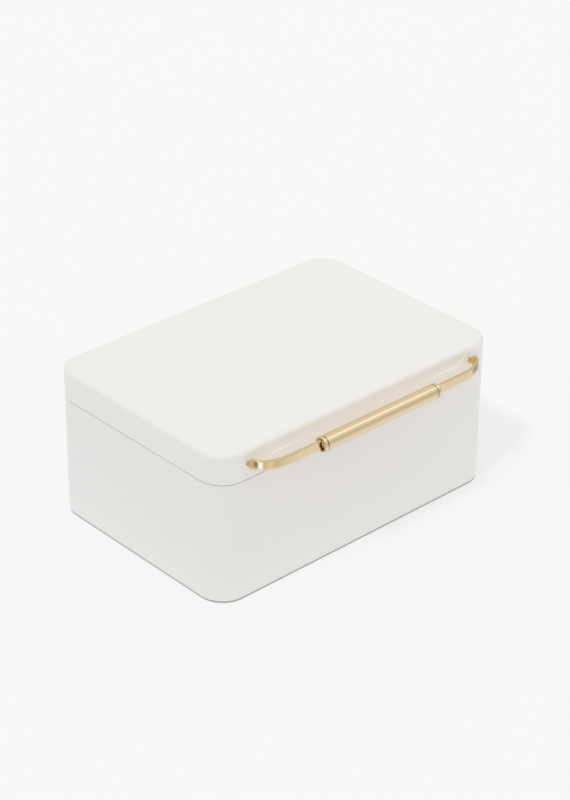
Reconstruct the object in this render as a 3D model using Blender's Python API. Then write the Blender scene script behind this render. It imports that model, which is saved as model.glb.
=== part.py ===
"""Jewellery chest: a lacquered box with a hinged lid, a brass strip pull with a round sleeve, a
sliding tray and a divided lower compartment.

+X runs along the front, +Y to the back and +Z up. The origin is the centre of the footprint at
table level. Blender works in metres, so each length is written in millimetres times MM.
"""

import math

import bmesh
import bpy
from mathutils import Matrix, Vector

MM = 0.001
FIT = 0.3 * MM  # gap between neighbouring pieces

# Outside of the chest
WIDTH = 250.0 * MM
DEPTH = 170.0 * MM
HEIGHT = 111.8 * MM
CORNER = 19.0 * MM  # radius of the four upright corners
TOP_FILLET = 3.8 * MM
BASE_EDGE = 0.9 * MM  # rounding of the base's lower edge
RIM_EDGE = 0.35 * MM  # rounding on both sides of the parting line
WALL = 8.0 * MM
LIFT = 1.2 * MM  # thickness of the felt that holds the body off the table
PARTING = 90.0 * MM
PARTING_GAP = 0.6 * MM
CORNER_STEPS = 9

# Base
PANEL = 3.4 * MM
REBATE = 4.0 * MM
FELT_INSET = 5.5 * MM

# Linings
LINING = 2.4 * MM
LIP = 4.0 * MM  # height of the lining's locating lip above the parting plane
FLOOR_PAD = 2.5 * MM
LID_TOP = 6.0 * MM
LID_BOARD = 3.0 * MM
MIRROR = 2.0 * MM
MIRROR_HALF = Vector((92.0, 56.0)) * MM
MIRROR_CORNER = 4.0 * MM

# Lower compartment
DIVIDER = 2.4 * MM
DIVIDER_TOP = 44.0 * MM
CELL_LINE = 38.0 * MM  # distance of each cross divider from the middle

# Tray and its runners
RUNNER_SIZE = Vector((5.5, 132.0, 6.0)) * MM
RUNNER_FLOOR = 48.0 * MM
TRAY_PLAY = 0.9 * MM
TRAY_LENGTH = 73.6 * MM
TRAY_TOP = 87.0 * MM
TRAY_WALL = 3.0 * MM
TRAY_LINE = 38.0 * MM
TAB_HALF_WIDTH = 7.0 * MM
TAB_THICKNESS = 0.8 * MM
TAB_FOOT = 72.0 * MM
TAB_TOP = 92.0 * MM
ROLLS = 5
ROLL_HEIGHT = 17.0 * MM

# Hinges
HINGE_X = 70.0 * MM
HINGE_HALF = 15.0 * MM
HINGE_KNUCKLE = 2.6 * MM
HINGE_STANDOFF = 2.9 * MM
HINGE_SPLIT = 7.55 * MM
LEAF_THICKNESS = 1.3 * MM
LEAF_FRONT = 5.5 * MM  # how far a leaf reaches in from the back face
PIN_RADIUS = 1.0 * MM
PIN_PLAY = 0.06 * MM
SCREW_OFFSET = 10.0 * MM
SCREW_HEAD = 1.9 * MM
SCREW_SHANK = 1.0 * MM
SCREW_LENGTH = 9.0 * MM

# Magnets
MAGNET_X = 60.0 * MM
MAGNET_RADIUS = 3.0 * MM
MAGNET_LENGTH = 3.0 * MM

# Handle
HANDLE_Z = 103.0 * MM
HANDLE_REACH = 15.5 * MM  # from the front face to the middle of the strip
HANDLE_HALF = 100.9 * MM
BEND_LENGTH = 23.5 * MM  # the bends are quarter ellipses, this long along the bar
BEND_DEPTH = 12.2 * MM
BEND_STEPS = 14
STRIP_HEIGHT = 7.4 * MM
STRIP_THICKNESS = 2.4 * MM
STRIP_EDGE = 0.8 * MM
STRIP_SLANT = 3.0 * MM  # how much further from the face the end's upper corner is
SLEEVE_RADIUS = 5.3 * MM
SLEEVE_BORE = 4.6 * MM
SLEEVE_HALF = 49.6 * MM
RING_START = 50.2 * MM
RING_END = 52.6 * MM
BUSH_START = 44.0 * MM
BUSH_END = 51.2 * MM
STUD_RADIUS = 1.1 * MM
STUD_ROOT = 4.5 * MM  # how far the stud reaches into the strip's arm
STUD_DROP = 0.8 * MM  # how far the stud's axis is below the strip's middle
NUT_RADIUS = 2.5 * MM
NUT_LENGTH = 2.0 * MM

FRONT = -DEPTH / 2
BACK = DEPTH / 2
RIM_LOW = PARTING - PARTING_GAP / 2
RIM_HIGH = PARTING + PARTING_GAP / 2
PANEL_FOOT = LIFT + FIT
PANEL_TOP = PANEL_FOOT + PANEL
FLOOR = PANEL_TOP + FIT
CEILING = HEIGHT - LID_TOP
HINGE_AXIS = Vector((0.0, BACK + HINGE_STANDOFF, PARTING))
TRAY_FLOOR = RUNNER_FLOOR + RUNNER_SIZE.z + FIT
TRAY_FRONT = DEPTH / 2 - WALL - FIT - LINING - 0.6 * MM - TRAY_LENGTH
SIDES = (("left", -1), ("right", 1))


# Scene and materials


def clear_scene():
    for obj in list(bpy.data.objects):
        bpy.data.objects.remove(obj, do_unlink=True)


def material(name, colour, roughness, metallic=0.0):
    made = bpy.data.materials.new(name)
    made.use_nodes = True
    shader = made.node_tree.nodes["Principled BSDF"]
    shader.inputs["Base Color"].default_value = (*colour, 1.0)
    shader.inputs["Roughness"].default_value = roughness
    shader.inputs["Metallic"].default_value = metallic
    made.diffuse_color = (*colour, 1.0)
    return made


def axis_empty(name, location):
    empty = bpy.data.objects.new(name, None)
    empty.empty_display_size = 0.02
    empty.location = location
    bpy.context.scene.collection.objects.link(empty)
    return empty


def add_piece(name, mesh_data, look, parent=None):
    """Links one piece. With a parent empty, the piece's origin sits on that empty."""
    mesh = bpy.data.meshes.new(name)
    mesh_data.to_mesh(mesh)
    mesh_data.free()
    if parent:
        mesh.transform(Matrix.Translation(-parent.location))
    mesh.shade_smooth()
    mesh.set_sharp_from_angle(angle=math.radians(35))
    mesh.materials.append(look)
    obj = bpy.data.objects.new(name, mesh)
    obj.parent = parent
    bpy.context.scene.collection.objects.link(obj)
    return obj


def boolean(target, operation, mesh_data, label):
    """Cuts or joins a helper shape, which stays out of the render."""
    mesh = bpy.data.meshes.new(label)
    mesh_data.to_mesh(mesh)
    mesh_data.free()
    helper = bpy.data.objects.new(f"{target.name}_{label}", mesh)
    if target.parent:
        mesh.transform(Matrix.Translation(-target.parent.location))
        helper.parent = target.parent
    helper.hide_render = True
    helper.display_type = "WIRE"
    bpy.context.scene.collection.objects.link(helper)
    modifier = target.modifiers.new(label, "BOOLEAN")
    modifier.operation = operation
    modifier.solver = "EXACT"
    modifier.object = helper


def cut(target, mesh_data, label):
    boolean(target, "DIFFERENCE", mesh_data, label)


def join(target, mesh_data, label):
    boolean(target, "UNION", mesh_data, label)


# Shapes


def lofted(rings, closed=False):
    """A solid through rings of equal length: capped at both ends, or joined end to start."""
    shape = bmesh.new()
    loops = [[shape.verts.new(point) for point in ring] for ring in rings]
    pairs = list(zip(loops, loops[1:]))
    if closed:
        pairs.append((loops[-1], loops[0]))
    for first, second in pairs:
        for i in range(len(first)):
            j = (i + 1) % len(first)
            shape.faces.new((first[i], first[j], second[j], second[i]))
    if not closed:
        shape.faces.new(list(reversed(loops[0])))
        shape.faces.new(loops[-1])
    bmesh.ops.recalc_face_normals(shape, faces=shape.faces)
    return shape


def rounded_ring(half_x, half_y, radius, z, steps=CORNER_STEPS):
    """A rounded rectangle at height z, anticlockwise seen from above."""
    points = []
    for sign_x, sign_y, start in ((1, 1, 0), (-1, 1, 90), (-1, -1, 180), (1, -1, 270)):
        for step in range(steps + 1):
            angle = math.radians(start + 90 * step / steps)
            x = sign_x * (half_x - radius) + radius * math.cos(angle)
            y = sign_y * (half_y - radius) + radius * math.sin(angle)
            points.append(Vector((x, y, z)))
    return points


def chest_ring(inset, z):
    """The chest's outline drawn in by inset, at height z."""
    return rounded_ring(WIDTH / 2 - inset, DEPTH / 2 - inset, CORNER - inset, z)


def fillet_rings(edge, z, steps, direction):
    """Rings round an outside edge of the chest. direction is +1 for an edge that faces up."""
    rings = []
    for step in range(steps + 1):
        angle = math.radians(90 * step / steps)
        inset = edge * (1 - math.cos(angle))
        rings.append(chest_ring(inset, z - direction * edge * (1 - math.sin(angle))))
    return rings


def box(low, high):
    shape = bmesh.new()
    bmesh.ops.create_cube(shape, size=1.0)
    size = [b - a for a, b in zip(low, high)]
    middle = [(a + b) / 2 for a, b in zip(low, high)]
    bmesh.ops.scale(shape, vec=size, verts=shape.verts)
    bmesh.ops.translate(shape, vec=middle, verts=shape.verts)
    return shape


def softened_box(low, high, edge, steps=2):
    shape = box(low, high)
    bmesh.ops.bevel(
        shape, geom=shape.edges[:], offset=edge, segments=steps, profile=0.5, affect="EDGES"
    )
    return shape


def turned(profile, centre, axis, segments, closed=False):
    """A solid of revolution. profile holds (radius, distance along the axis) pairs."""
    along = {"X": Vector((1, 0, 0)), "Y": Vector((0, 1, 0)), "Z": Vector((0, 0, 1))}[axis]
    first = along.orthogonal().normalized()
    second = along.cross(first)
    rings = []
    for radius, distance in profile:
        ring = []
        for step in range(segments):
            angle = 2 * math.pi * step / segments
            spoke = first * math.cos(angle) + second * math.sin(angle)
            ring.append(Vector(centre) + along * distance + spoke * radius)
        rings.append(ring)
    return lofted(rings, closed)


def extruded(outline, axis, start, end):
    """A prism. outline holds the two coordinates across the axis, in X, Y, Z order."""
    place = "XYZ".index(axis)
    rings = []
    for position in (start, end):
        ring = []
        for pair in outline:
            point = list(pair)
            point.insert(place, position)
            ring.append(Vector(point))
        rings.append(ring)
    return lofted(rings)


def gathered(shapes):
    """Several separate shapes in one mesh."""
    whole = bmesh.new()
    for shape in shapes:
        mesh = bpy.data.meshes.new("gathered")
        shape.to_mesh(mesh)
        shape.free()
        whole.from_mesh(mesh)
        bpy.data.meshes.remove(mesh)
    return whole


def arc(centre, radius, start, end, steps):
    """Points along an arc in a plane, from the start angle to the end angle, in degrees."""
    points = []
    for step in range(steps + 1):
        angle = math.radians(start + (end - start) * step / steps)
        points.append((centre[0] + radius * math.cos(angle), centre[1] + radius * math.sin(angle)))
    return points


# Hinge fittings, which the shells need for their mortises


def hinge_mortise(side, facing):
    """The space for a leaf in the rear edge. facing is -1 in the base and +1 in the lid."""
    outer = PARTING + facing * (PARTING_GAP / 2 + LEAF_THICKNESS + FIT)
    middle = side * HINGE_X
    reach = HINGE_HALF + FIT
    low = (middle - reach, BACK - LEAF_FRONT - FIT, min(outer, PARTING))
    high = (middle + reach, BACK + 1.0 * MM, max(outer, PARTING))
    return box(low, high)


def screw_places():
    places = []
    for side_name, side in SIDES:
        for number, offset in ((1, -SCREW_OFFSET), (2, SCREW_OFFSET)):
            name = f"{side_name}_{number}"
            places.append((name, side * HINGE_X + offset, BACK - LEAF_FRONT / 2))
    return places


def screw_profile(facing, play):
    """Countersunk screw, or with play the hole that takes it. It starts at the leaf's open face."""
    surface = facing * PARTING_GAP / 2
    head = surface + facing * 0.9 * MM
    tip = surface + facing * (SCREW_LENGTH + play)
    return [
        (SCREW_HEAD + play, surface - facing * play),
        (SCREW_HEAD + play, surface + facing * 0.15 * MM),
        (SCREW_SHANK + play, head),
        (SCREW_SHANK + play, tip),
    ]


def screw_holes(facing):
    holes = []
    for _, x, y in screw_places():
        holes.append(turned(screw_profile(facing, 0.15 * MM), (x, y, PARTING), "Z", 12))
    return holes


def magnet_pockets(facing):
    pockets = []
    depth = PARTING_GAP / 2 + MAGNET_LENGTH + 2 * FIT
    profile = [(MAGNET_RADIUS + FIT, 0.0), (MAGNET_RADIUS + FIT, facing * depth)]
    for _, side in SIDES:
        centre = (side * MAGNET_X, FRONT + WALL / 2, PARTING)
        pockets.append(turned(profile, centre, "Z", 16))
    return pockets


# Base


def make_base(look):
    outer = fillet_rings(BASE_EDGE, LIFT, 2, -1)[::-1]
    outer += fillet_rings(RIM_EDGE, RIM_LOW, 1, 1)
    inner = [
        chest_ring(WALL - RIM_EDGE, RIM_LOW),
        chest_ring(WALL, RIM_LOW - RIM_EDGE),
        chest_ring(WALL, FLOOR),
        chest_ring(REBATE, FLOOR),
        chest_ring(REBATE, LIFT),
    ]
    shell = add_piece("base_shell", lofted(outer + inner, closed=True), look["lacquer"])
    mortises = [hinge_mortise(side, -1) for _, side in SIDES]
    cut(shell, gathered(mortises), "mortises")
    cut(shell, gathered(screw_holes(-1) + magnet_pockets(-1)), "holes")

    inset = REBATE + FIT
    panel = [chest_ring(inset, PANEL_FOOT), chest_ring(inset, PANEL_TOP)]
    add_piece("bottom_panel", lofted(panel), look["board"])
    felt = [chest_ring(FELT_INSET, 0.0), chest_ring(FELT_INSET, LIFT)]
    add_piece("base_felt", lofted(felt), look["felt"])


def make_linings(look):
    """The lining band that stands up as the lid's locating lip, and the floor pad inside it."""
    outside = WALL + FIT
    inside = outside + LINING
    top = PARTING + LIP
    round_over = 0.8 * MM
    band = [
        chest_ring(outside, FLOOR),
        chest_ring(outside, top - round_over),
        chest_ring(outside + round_over / 3, top - round_over / 3),
        chest_ring(outside + round_over, top),
        chest_ring(inside - round_over, top),
        chest_ring(inside - round_over / 3, top - round_over / 3),
        chest_ring(inside, top - round_over),
        chest_ring(inside, FLOOR),
    ]
    add_piece("wall_lining", lofted(band, closed=True), look["suede"])
    pad_inset = inside + FIT
    pad_top = FLOOR + FLOOR_PAD
    pad = [
        chest_ring(pad_inset, FLOOR),
        chest_ring(pad_inset, pad_top - 0.6 * MM),
        chest_ring(pad_inset + 0.6 * MM, pad_top),
    ]
    add_piece("floor_pad", lofted(pad), look["suede"])


def make_dividers(look):
    """One long divider and two cross dividers, halved over each other."""
    foot = FLOOR + FLOOR_PAD + FIT
    half_x = WIDTH / 2 - WALL - FIT - LINING - FIT
    half_y = DEPTH / 2 - WALL - FIT - LINING - FIT
    slot = DIVIDER / 2 + FIT
    middle = (foot + DIVIDER_TOP) / 2

    long_outline = [(-half_x, foot), (half_x, foot), (half_x, DIVIDER_TOP)]
    for line in (CELL_LINE, -CELL_LINE):
        long_outline.append((line + slot, DIVIDER_TOP))
        long_outline.append((line + slot, middle - FIT / 2))
        long_outline.append((line - slot, middle - FIT / 2))
        long_outline.append((line - slot, DIVIDER_TOP))
    long_outline.append((-half_x, DIVIDER_TOP))
    shape = extruded(long_outline, "Y", -DIVIDER / 2, DIVIDER / 2)
    add_piece("divider_long", shape, look["suede"])

    for side_name, side in SIDES:
        outline = [
            (-half_y, foot),
            (-slot, foot),
            (-slot, middle + FIT / 2),
            (slot, middle + FIT / 2),
            (slot, foot),
            (half_y, foot),
            (half_y, DIVIDER_TOP),
            (-half_y, DIVIDER_TOP),
        ]
        line = side * CELL_LINE
        shape = extruded(outline, "X", line - DIVIDER / 2, line + DIVIDER / 2)
        add_piece(f"divider_cross_{side_name}", shape, look["suede"])


def make_runners(look):
    near = WIDTH / 2 - WALL - FIT - LINING - FIT
    for side_name, side in SIDES:
        x_pair = sorted((side * near, side * (near - RUNNER_SIZE.x)))
        low = (x_pair[0], -RUNNER_SIZE.y / 2, RUNNER_FLOOR)
        high = (x_pair[1], RUNNER_SIZE.y / 2, RUNNER_FLOOR + RUNNER_SIZE.z)
        add_piece(f"tray_runner_{side_name}", softened_box(low, high, 0.5 * MM), look["lacquer"])


# Tray


def tray_ring(inset, z):
    """The tray's outline drawn in by inset, at height z."""
    half_x = WIDTH / 2 - WALL - FIT - LINING - TRAY_PLAY
    half_y = TRAY_LENGTH / 2
    corner = CORNER - WALL - LINING - TRAY_PLAY
    shift = Vector((0.0, TRAY_FRONT + half_y, 0.0))
    ring = rounded_ring(half_x - inset, half_y - inset, corner - inset, z, 8)
    return [point + shift for point in ring]


def make_tray(look, axis):
    inside_floor = TRAY_FLOOR + TRAY_WALL
    edge = 0.5 * MM
    rings = [
        tray_ring(edge, TRAY_FLOOR),
        tray_ring(0.0, TRAY_FLOOR + edge),
        tray_ring(0.0, TRAY_TOP - edge),
        tray_ring(edge, TRAY_TOP),
        tray_ring(TRAY_WALL - edge, TRAY_TOP),
        tray_ring(TRAY_WALL, TRAY_TOP - edge),
        tray_ring(TRAY_WALL, inside_floor),
    ]
    add_piece("tray_body", lofted(rings), look["suede"], axis)

    inner_front = TRAY_FRONT + TRAY_WALL + FIT
    inner_back = TRAY_FRONT + TRAY_LENGTH - TRAY_WALL - FIT
    foot = inside_floor + FIT
    for side_name, side in SIDES:
        line = side * TRAY_LINE
        low = (line - DIVIDER / 2, inner_front, foot)
        high = (line + DIVIDER / 2, inner_back, TRAY_TOP - 3.0 * MM)
        shape = softened_box(low, high, 0.5 * MM)
        add_piece(f"tray_divider_{side_name}", shape, look["suede"], axis)
    make_ring_rolls(look, axis, inner_front, inner_back, foot)
    make_pull_tab(look, axis, inner_front)


def make_ring_rolls(look, axis, inner_front, inner_back, foot):
    """Padded rolls side by side in the tray's left section. Rings stand in the gaps."""
    outer_end = -(WIDTH / 2 - WALL - FIT - LINING - TRAY_PLAY - TRAY_WALL - 2 * FIT)
    inner_end = -(TRAY_LINE + DIVIDER / 2 + FIT)
    pitch = (inner_back - inner_front) / ROLLS
    radius = pitch / 2 - FIT / 2
    for number in range(ROLLS):
        middle = inner_front + pitch * (number + 0.5)
        crown = foot + ROLL_HEIGHT - radius
        outline = [(middle + radius, foot)]
        outline += arc((middle, crown), radius, 0, 180, 12)
        outline.append((middle - radius, foot))
        shorter = 3.5 * MM if number in (0, ROLLS - 1) else 0.0
        shape = extruded(outline, "X", outer_end + shorter, inner_end)
        add_piece(f"ring_roll_{number + 1}", shape, look["suede"], axis)


def make_pull_tab(look, axis, inner_front):
    """A folded ribbon fixed inside the tray's front wall."""
    bend = 2 * TAB_THICKNESS
    middle = inner_front + bend
    crown = TAB_TOP - bend
    outline = [(middle + bend, TAB_FOOT)]
    outline += arc((middle, crown), bend, 0, 180, 12)
    outline.append((middle - bend, TAB_FOOT))
    outline.append((middle - bend + TAB_THICKNESS, TAB_FOOT))
    outline += arc((middle, crown), bend - TAB_THICKNESS, 180, 0, 12)
    outline.append((middle + bend - TAB_THICKNESS, TAB_FOOT))
    shape = extruded(outline, "X", -TAB_HALF_WIDTH, TAB_HALF_WIDTH)
    add_piece("tray_pull_tab", shape, look["ribbon"], axis)


# Lid


def make_lid(look, axis):
    outer = fillet_rings(RIM_EDGE, RIM_HIGH, 1, -1)[::-1]
    outer += fillet_rings(TOP_FILLET, HEIGHT, 5, 1)
    inner = [
        chest_ring(WALL, CEILING),
        chest_ring(WALL, RIM_HIGH + RIM_EDGE),
        chest_ring(WALL - RIM_EDGE, RIM_HIGH),
    ]
    shell = add_piece("lid_shell", lofted(inner + outer), look["lacquer"], axis)
    mortises = [hinge_mortise(side, 1) for _, side in SIDES]
    cut(shell, gathered(mortises), "mortises")
    cut(shell, gathered(screw_holes(1) + magnet_pockets(1)), "holes")
    cut(shell, gathered(stud_holes()), "stud_holes")

    board_inset = WALL + 2 * FIT
    board_top = CEILING - FIT
    board_foot = board_top - LID_BOARD
    board = [chest_ring(board_inset, board_foot), chest_ring(board_inset, board_top)]
    lining = add_piece("lid_lining", lofted(board), look["suede"], axis)
    glass_x, glass_y = MIRROR_HALF
    recess = [
        rounded_ring(glass_x + FIT, glass_y + FIT, MIRROR_CORNER + FIT, board_foot - FIT, 4),
        rounded_ring(glass_x + FIT, glass_y + FIT, MIRROR_CORNER + FIT, board_foot + MIRROR + FIT, 4),
    ]
    cut(lining, lofted(recess), "recess")
    glass = [
        rounded_ring(glass_x, glass_y, MIRROR_CORNER, board_foot, 4),
        rounded_ring(glass_x, glass_y, MIRROR_CORNER, board_foot + MIRROR, 4),
    ]
    add_piece("lid_mirror", lofted(glass), look["mirror"], axis)


def make_magnets(look, axis):
    for body, facing, parent in (("base", -1, None), ("lid", 1, axis)):
        for side_name, side in SIDES:
            centre = (side * MAGNET_X, FRONT + WALL / 2, PARTING)
            start = facing * (PARTING_GAP / 2 + FIT)
            profile = [(MAGNET_RADIUS, start), (MAGNET_RADIUS, start + facing * MAGNET_LENGTH)]
            name = f"magnet_{body}_{side_name}"
            add_piece(name, turned(profile, centre, "Z", 16), look["steel"], parent)


# Hinges


def make_leaf(name, side, facing, look, parent):
    """One hinge leaf: a plate in the mortise, and the knuckles it carries on the axis."""
    middle = side * HINGE_X
    inner = PARTING + facing * PARTING_GAP / 2
    outer = inner + facing * LEAF_THICKNESS
    low = (middle - HINGE_HALF, BACK - LEAF_FRONT, min(inner, outer))
    high = (middle + HINGE_HALF, BACK - 0.1 * MM, max(inner, outer))
    leaf = add_piece(name, box(low, high), look["brass_fittings"], parent)

    gap = FIT / 2
    if facing < 0:
        spans = [(-HINGE_HALF, -HINGE_SPLIT - gap), (HINGE_SPLIT + gap, HINGE_HALF)]
    else:
        spans = [(-HINGE_SPLIT + gap, HINGE_SPLIT - gap)]
    inside = 0.1 * MM
    tabs = []
    knuckles = []
    for start, end in spans:
        tab_low = (middle + start + inside, BACK - 2.0 * MM, low[2] + inside)
        tab_high = (middle + end - inside, HINGE_AXIS.y - 1.2 * MM, high[2] - inside)
        tabs.append(box(tab_low, tab_high))
        profile = [(HINGE_KNUCKLE, middle + start), (HINGE_KNUCKLE, middle + end)]
        knuckles.append(turned(profile, HINGE_AXIS, "X", 24))
    join(leaf, gathered(tabs), "tabs")
    join(leaf, gathered(knuckles), "knuckles")
    reach = HINGE_HALF + 1.0 * MM
    bore = [(PIN_RADIUS + PIN_PLAY, middle - reach), (PIN_RADIUS + PIN_PLAY, middle + reach)]
    cut(leaf, turned(bore, HINGE_AXIS, "X", 24), "bore")
    holes = []
    for _, x, y in screw_places():
        if abs(x - middle) < HINGE_HALF:
            holes.append(turned(screw_profile(facing, 0.15 * MM), (x, y, PARTING), "Z", 12))
    cut(leaf, gathered(holes), "screw_holes")


def make_hinges(look, axis):
    for side_name, side in SIDES:
        make_leaf(f"hinge_{side_name}_base_leaf", side, -1, look, None)
        make_leaf(f"hinge_{side_name}_lid_leaf", side, 1, look, axis)
        middle = side * HINGE_X
        neck = HINGE_HALF + 0.2 * MM
        cap = HINGE_HALF + 0.9 * MM
        head = PIN_RADIUS + 0.7 * MM
        profile = [
            (head - 0.4 * MM, middle - cap),
            (head, middle - cap + 0.4 * MM),
            (head, middle - neck),
            (PIN_RADIUS, middle - neck),
            (PIN_RADIUS, middle + neck),
            (head, middle + neck),
            (head, middle + cap - 0.4 * MM),
            (head - 0.4 * MM, middle + cap),
        ]
        pin = turned(profile, HINGE_AXIS, "X", 20)
        add_piece(f"hinge_{side_name}_pin", pin, look["brass_fittings"])
    for body, facing, parent in (("base", -1, None), ("lid", 1, axis)):
        for label, x, y in screw_places():
            screw = turned(screw_profile(facing, 0.0), (x, y, PARTING), "Z", 12)
            add_piece(f"hinge_screw_{body}_{label}", screw, look["brass_fittings"], parent)


# Handle


def strip_section():
    """The strip's cross-section as (across, up) pairs, with softened edges."""
    half_t = STRIP_THICKNESS / 2 - STRIP_EDGE
    half_h = STRIP_HEIGHT / 2 - STRIP_EDGE
    points = []
    for sign_t, sign_h, start in ((1, 1, 0), (-1, 1, 90), (-1, -1, 180), (1, -1, 270)):
        corner = (sign_t * half_t, sign_h * half_h)
        points += arc(corner, STRIP_EDGE, start, start + 90, 2)
    return points


def strip_rings():
    """Rings along the strip from its left end to its right end. Both ends are slanted."""
    end = []
    for offset, up in strip_section():
        gap = FIT + STRIP_SLANT * (up + STRIP_HEIGHT / 2) / STRIP_HEIGHT
        end.append(Vector((-HANDLE_HALF - offset, FRONT - gap, HANDLE_Z + up)))
    rings = [end]
    for step in range(BEND_STEPS + 1):
        angle = math.radians(90 * step / BEND_STEPS)
        x = BEND_LENGTH - HANDLE_HALF - BEND_LENGTH * math.cos(angle)
        y = FRONT - HANDLE_REACH + BEND_DEPTH - BEND_DEPTH * math.sin(angle)
        slope = (-math.cos(angle) / BEND_LENGTH, -math.sin(angle) / BEND_DEPTH, 0.0)
        outward = Vector(slope).normalized()
        middle = Vector((x, y, HANDLE_Z))
        ring = []
        for offset, up in strip_section():
            ring.append(middle + outward * offset + Vector((0.0, 0.0, up)))
        rings.append(ring)
    mirrored = [[Vector((-p.x, p.y, p.z)) for p in ring] for ring in reversed(rings)]
    return rings + mirrored


def stud_centre(side):
    return Vector((side * HANDLE_HALF, FRONT, HANDLE_Z - STUD_DROP))


def stud_holes():
    """Holes through the lid's front wall for the studs, with a counterbore for each nut."""
    holes = []
    for _, side in SIDES:
        clear = STUD_RADIUS + FIT
        wide = NUT_RADIUS + FIT
        step = WALL - NUT_LENGTH - 2 * FIT
        profile = [(clear, -1.0 * MM), (clear, step), (wide, step), (wide, WALL + 1.0 * MM)]
        holes.append(turned(profile, stud_centre(side), "Y", 16))
    return holes


def make_strip(look, axis):
    """The bent strip, with a stud brazed into each end."""
    strip = add_piece("handle_strip", lofted(strip_rings()), look["brass"], axis)
    profile = [(STUD_RADIUS, -STUD_ROOT), (STUD_RADIUS, WALL - 0.6 * MM)]
    studs = [turned(profile, stud_centre(side), "Y", 16) for _, side in SIDES]
    join(strip, gathered(studs), "studs")


def make_handle(look, axis):
    make_strip(look, axis)
    centre = Vector((0.0, FRONT - HANDLE_REACH, HANDLE_Z))
    soft = 0.4 * MM
    tube = [
        (SLEEVE_BORE, -SLEEVE_HALF),
        (SLEEVE_RADIUS - soft, -SLEEVE_HALF),
        (SLEEVE_RADIUS, -SLEEVE_HALF + soft),
        (SLEEVE_RADIUS, SLEEVE_HALF - soft),
        (SLEEVE_RADIUS - soft, SLEEVE_HALF),
        (SLEEVE_BORE, SLEEVE_HALF),
    ]
    sleeve = turned(tube, centre, "X", 32, closed=True)
    add_piece("handle_sleeve", sleeve, look["satin_brass"], axis)

    half_slot_y = STRIP_THICKNESS / 2 + 0.15 * MM
    half_slot_z = STRIP_HEIGHT / 2 + 0.15 * MM
    bush_radius = SLEEVE_BORE - 0.1 * MM
    for side_name, side in SIDES:
        ring = [
            (SLEEVE_BORE, side * RING_START),
            (SLEEVE_RADIUS - soft, side * RING_START),
            (SLEEVE_RADIUS, side * (RING_START + soft)),
            (SLEEVE_RADIUS, side * (RING_END - 1.5 * soft)),
            (SLEEVE_RADIUS - 1.5 * soft, side * RING_END),
            (SLEEVE_BORE, side * RING_END),
        ]
        shape = turned(ring, centre, "X", 32, closed=True)
        add_piece(f"handle_ring_{side_name}", shape, look["brass"], axis)

        profile = [(bush_radius, side * BUSH_START), (bush_radius, side * BUSH_END)]
        bush = turned(profile, centre, "X", 24)
        bush = add_piece(f"handle_bush_{side_name}", bush, look["brass_fittings"], axis)
        x_pair = sorted((side * (BUSH_START - 1 * MM), side * (BUSH_END + 1 * MM)))
        low = (x_pair[0], centre.y - half_slot_y, centre.z - half_slot_z)
        high = (x_pair[1], centre.y + half_slot_y, centre.z + half_slot_z)
        cut(bush, box(low, high), "slot")

        start = WALL - NUT_LENGTH - FIT
        nut = [
            (STUD_RADIUS + 0.15 * MM, start),
            (NUT_RADIUS, start),
            (NUT_RADIUS, start + NUT_LENGTH),
            (STUD_RADIUS + 0.15 * MM, start + NUT_LENGTH),
        ]
        shape = turned(nut, stud_centre(side), "Y", 16, closed=True)
        add_piece(f"handle_nut_{side_name}", shape, look["brass_fittings"], axis)


def main():
    clear_scene()
    look = {
        "lacquer": material("white_lacquer", (0.86, 0.85, 0.83), 0.35),
        "board": material("painted_board", (0.70, 0.68, 0.64), 0.6),
        "felt": material("grey_felt", (0.20, 0.19, 0.18), 0.95),
        "suede": material("cream_suede", (0.76, 0.70, 0.62), 0.95),
        "ribbon": material("gold_ribbon", (0.66, 0.52, 0.33), 0.6),
        "mirror": material("mirror_glass", (0.90, 0.92, 0.92), 0.03, 1.0),
        "brass": material("polished_brass", (0.83, 0.65, 0.36), 0.18, 1.0),
        "satin_brass": material("satin_brass", (0.83, 0.65, 0.36), 0.35, 1.0),
        "brass_fittings": material("fitting_brass", (0.76, 0.58, 0.31), 0.3, 1.0),
        "steel": material("nickel_steel", (0.62, 0.62, 0.63), 0.3, 1.0),
    }
    lid_axis = axis_empty("lid_axis", HINGE_AXIS)
    tray_axis = axis_empty("tray_axis", (0.0, TRAY_FRONT, TRAY_FLOOR))
    make_base(look)
    make_linings(look)
    make_dividers(look)
    make_runners(look)
    make_tray(look, tray_axis)
    make_lid(look, lid_axis)
    make_magnets(look, lid_axis)
    make_hinges(look, lid_axis)
    make_handle(look, lid_axis)


main()
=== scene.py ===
"""Looks of the jewellery chest: lacquered shells, brass pull and hinges, suede interior, and the
studio around it. Lengths are in metres, written as millimetres times MM. Places come from the frame.
"""

import math

import bmesh
import bpy
from mathutils import Matrix, Vector, noise


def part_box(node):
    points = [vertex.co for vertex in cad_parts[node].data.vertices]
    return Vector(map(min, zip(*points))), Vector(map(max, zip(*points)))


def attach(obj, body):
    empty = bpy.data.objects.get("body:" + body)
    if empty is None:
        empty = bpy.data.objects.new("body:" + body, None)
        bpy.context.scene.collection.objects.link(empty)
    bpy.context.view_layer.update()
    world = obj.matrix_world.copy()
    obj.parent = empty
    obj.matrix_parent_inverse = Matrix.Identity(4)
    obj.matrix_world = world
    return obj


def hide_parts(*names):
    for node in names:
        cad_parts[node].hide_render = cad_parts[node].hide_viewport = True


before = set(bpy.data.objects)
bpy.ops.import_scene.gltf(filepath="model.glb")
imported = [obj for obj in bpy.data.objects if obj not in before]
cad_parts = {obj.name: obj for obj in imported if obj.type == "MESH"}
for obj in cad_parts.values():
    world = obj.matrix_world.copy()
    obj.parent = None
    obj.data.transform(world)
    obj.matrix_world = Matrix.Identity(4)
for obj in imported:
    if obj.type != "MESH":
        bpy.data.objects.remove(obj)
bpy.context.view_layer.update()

MM = 0.001
SIDES = (("left", -1), ("right", 1))

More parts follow.
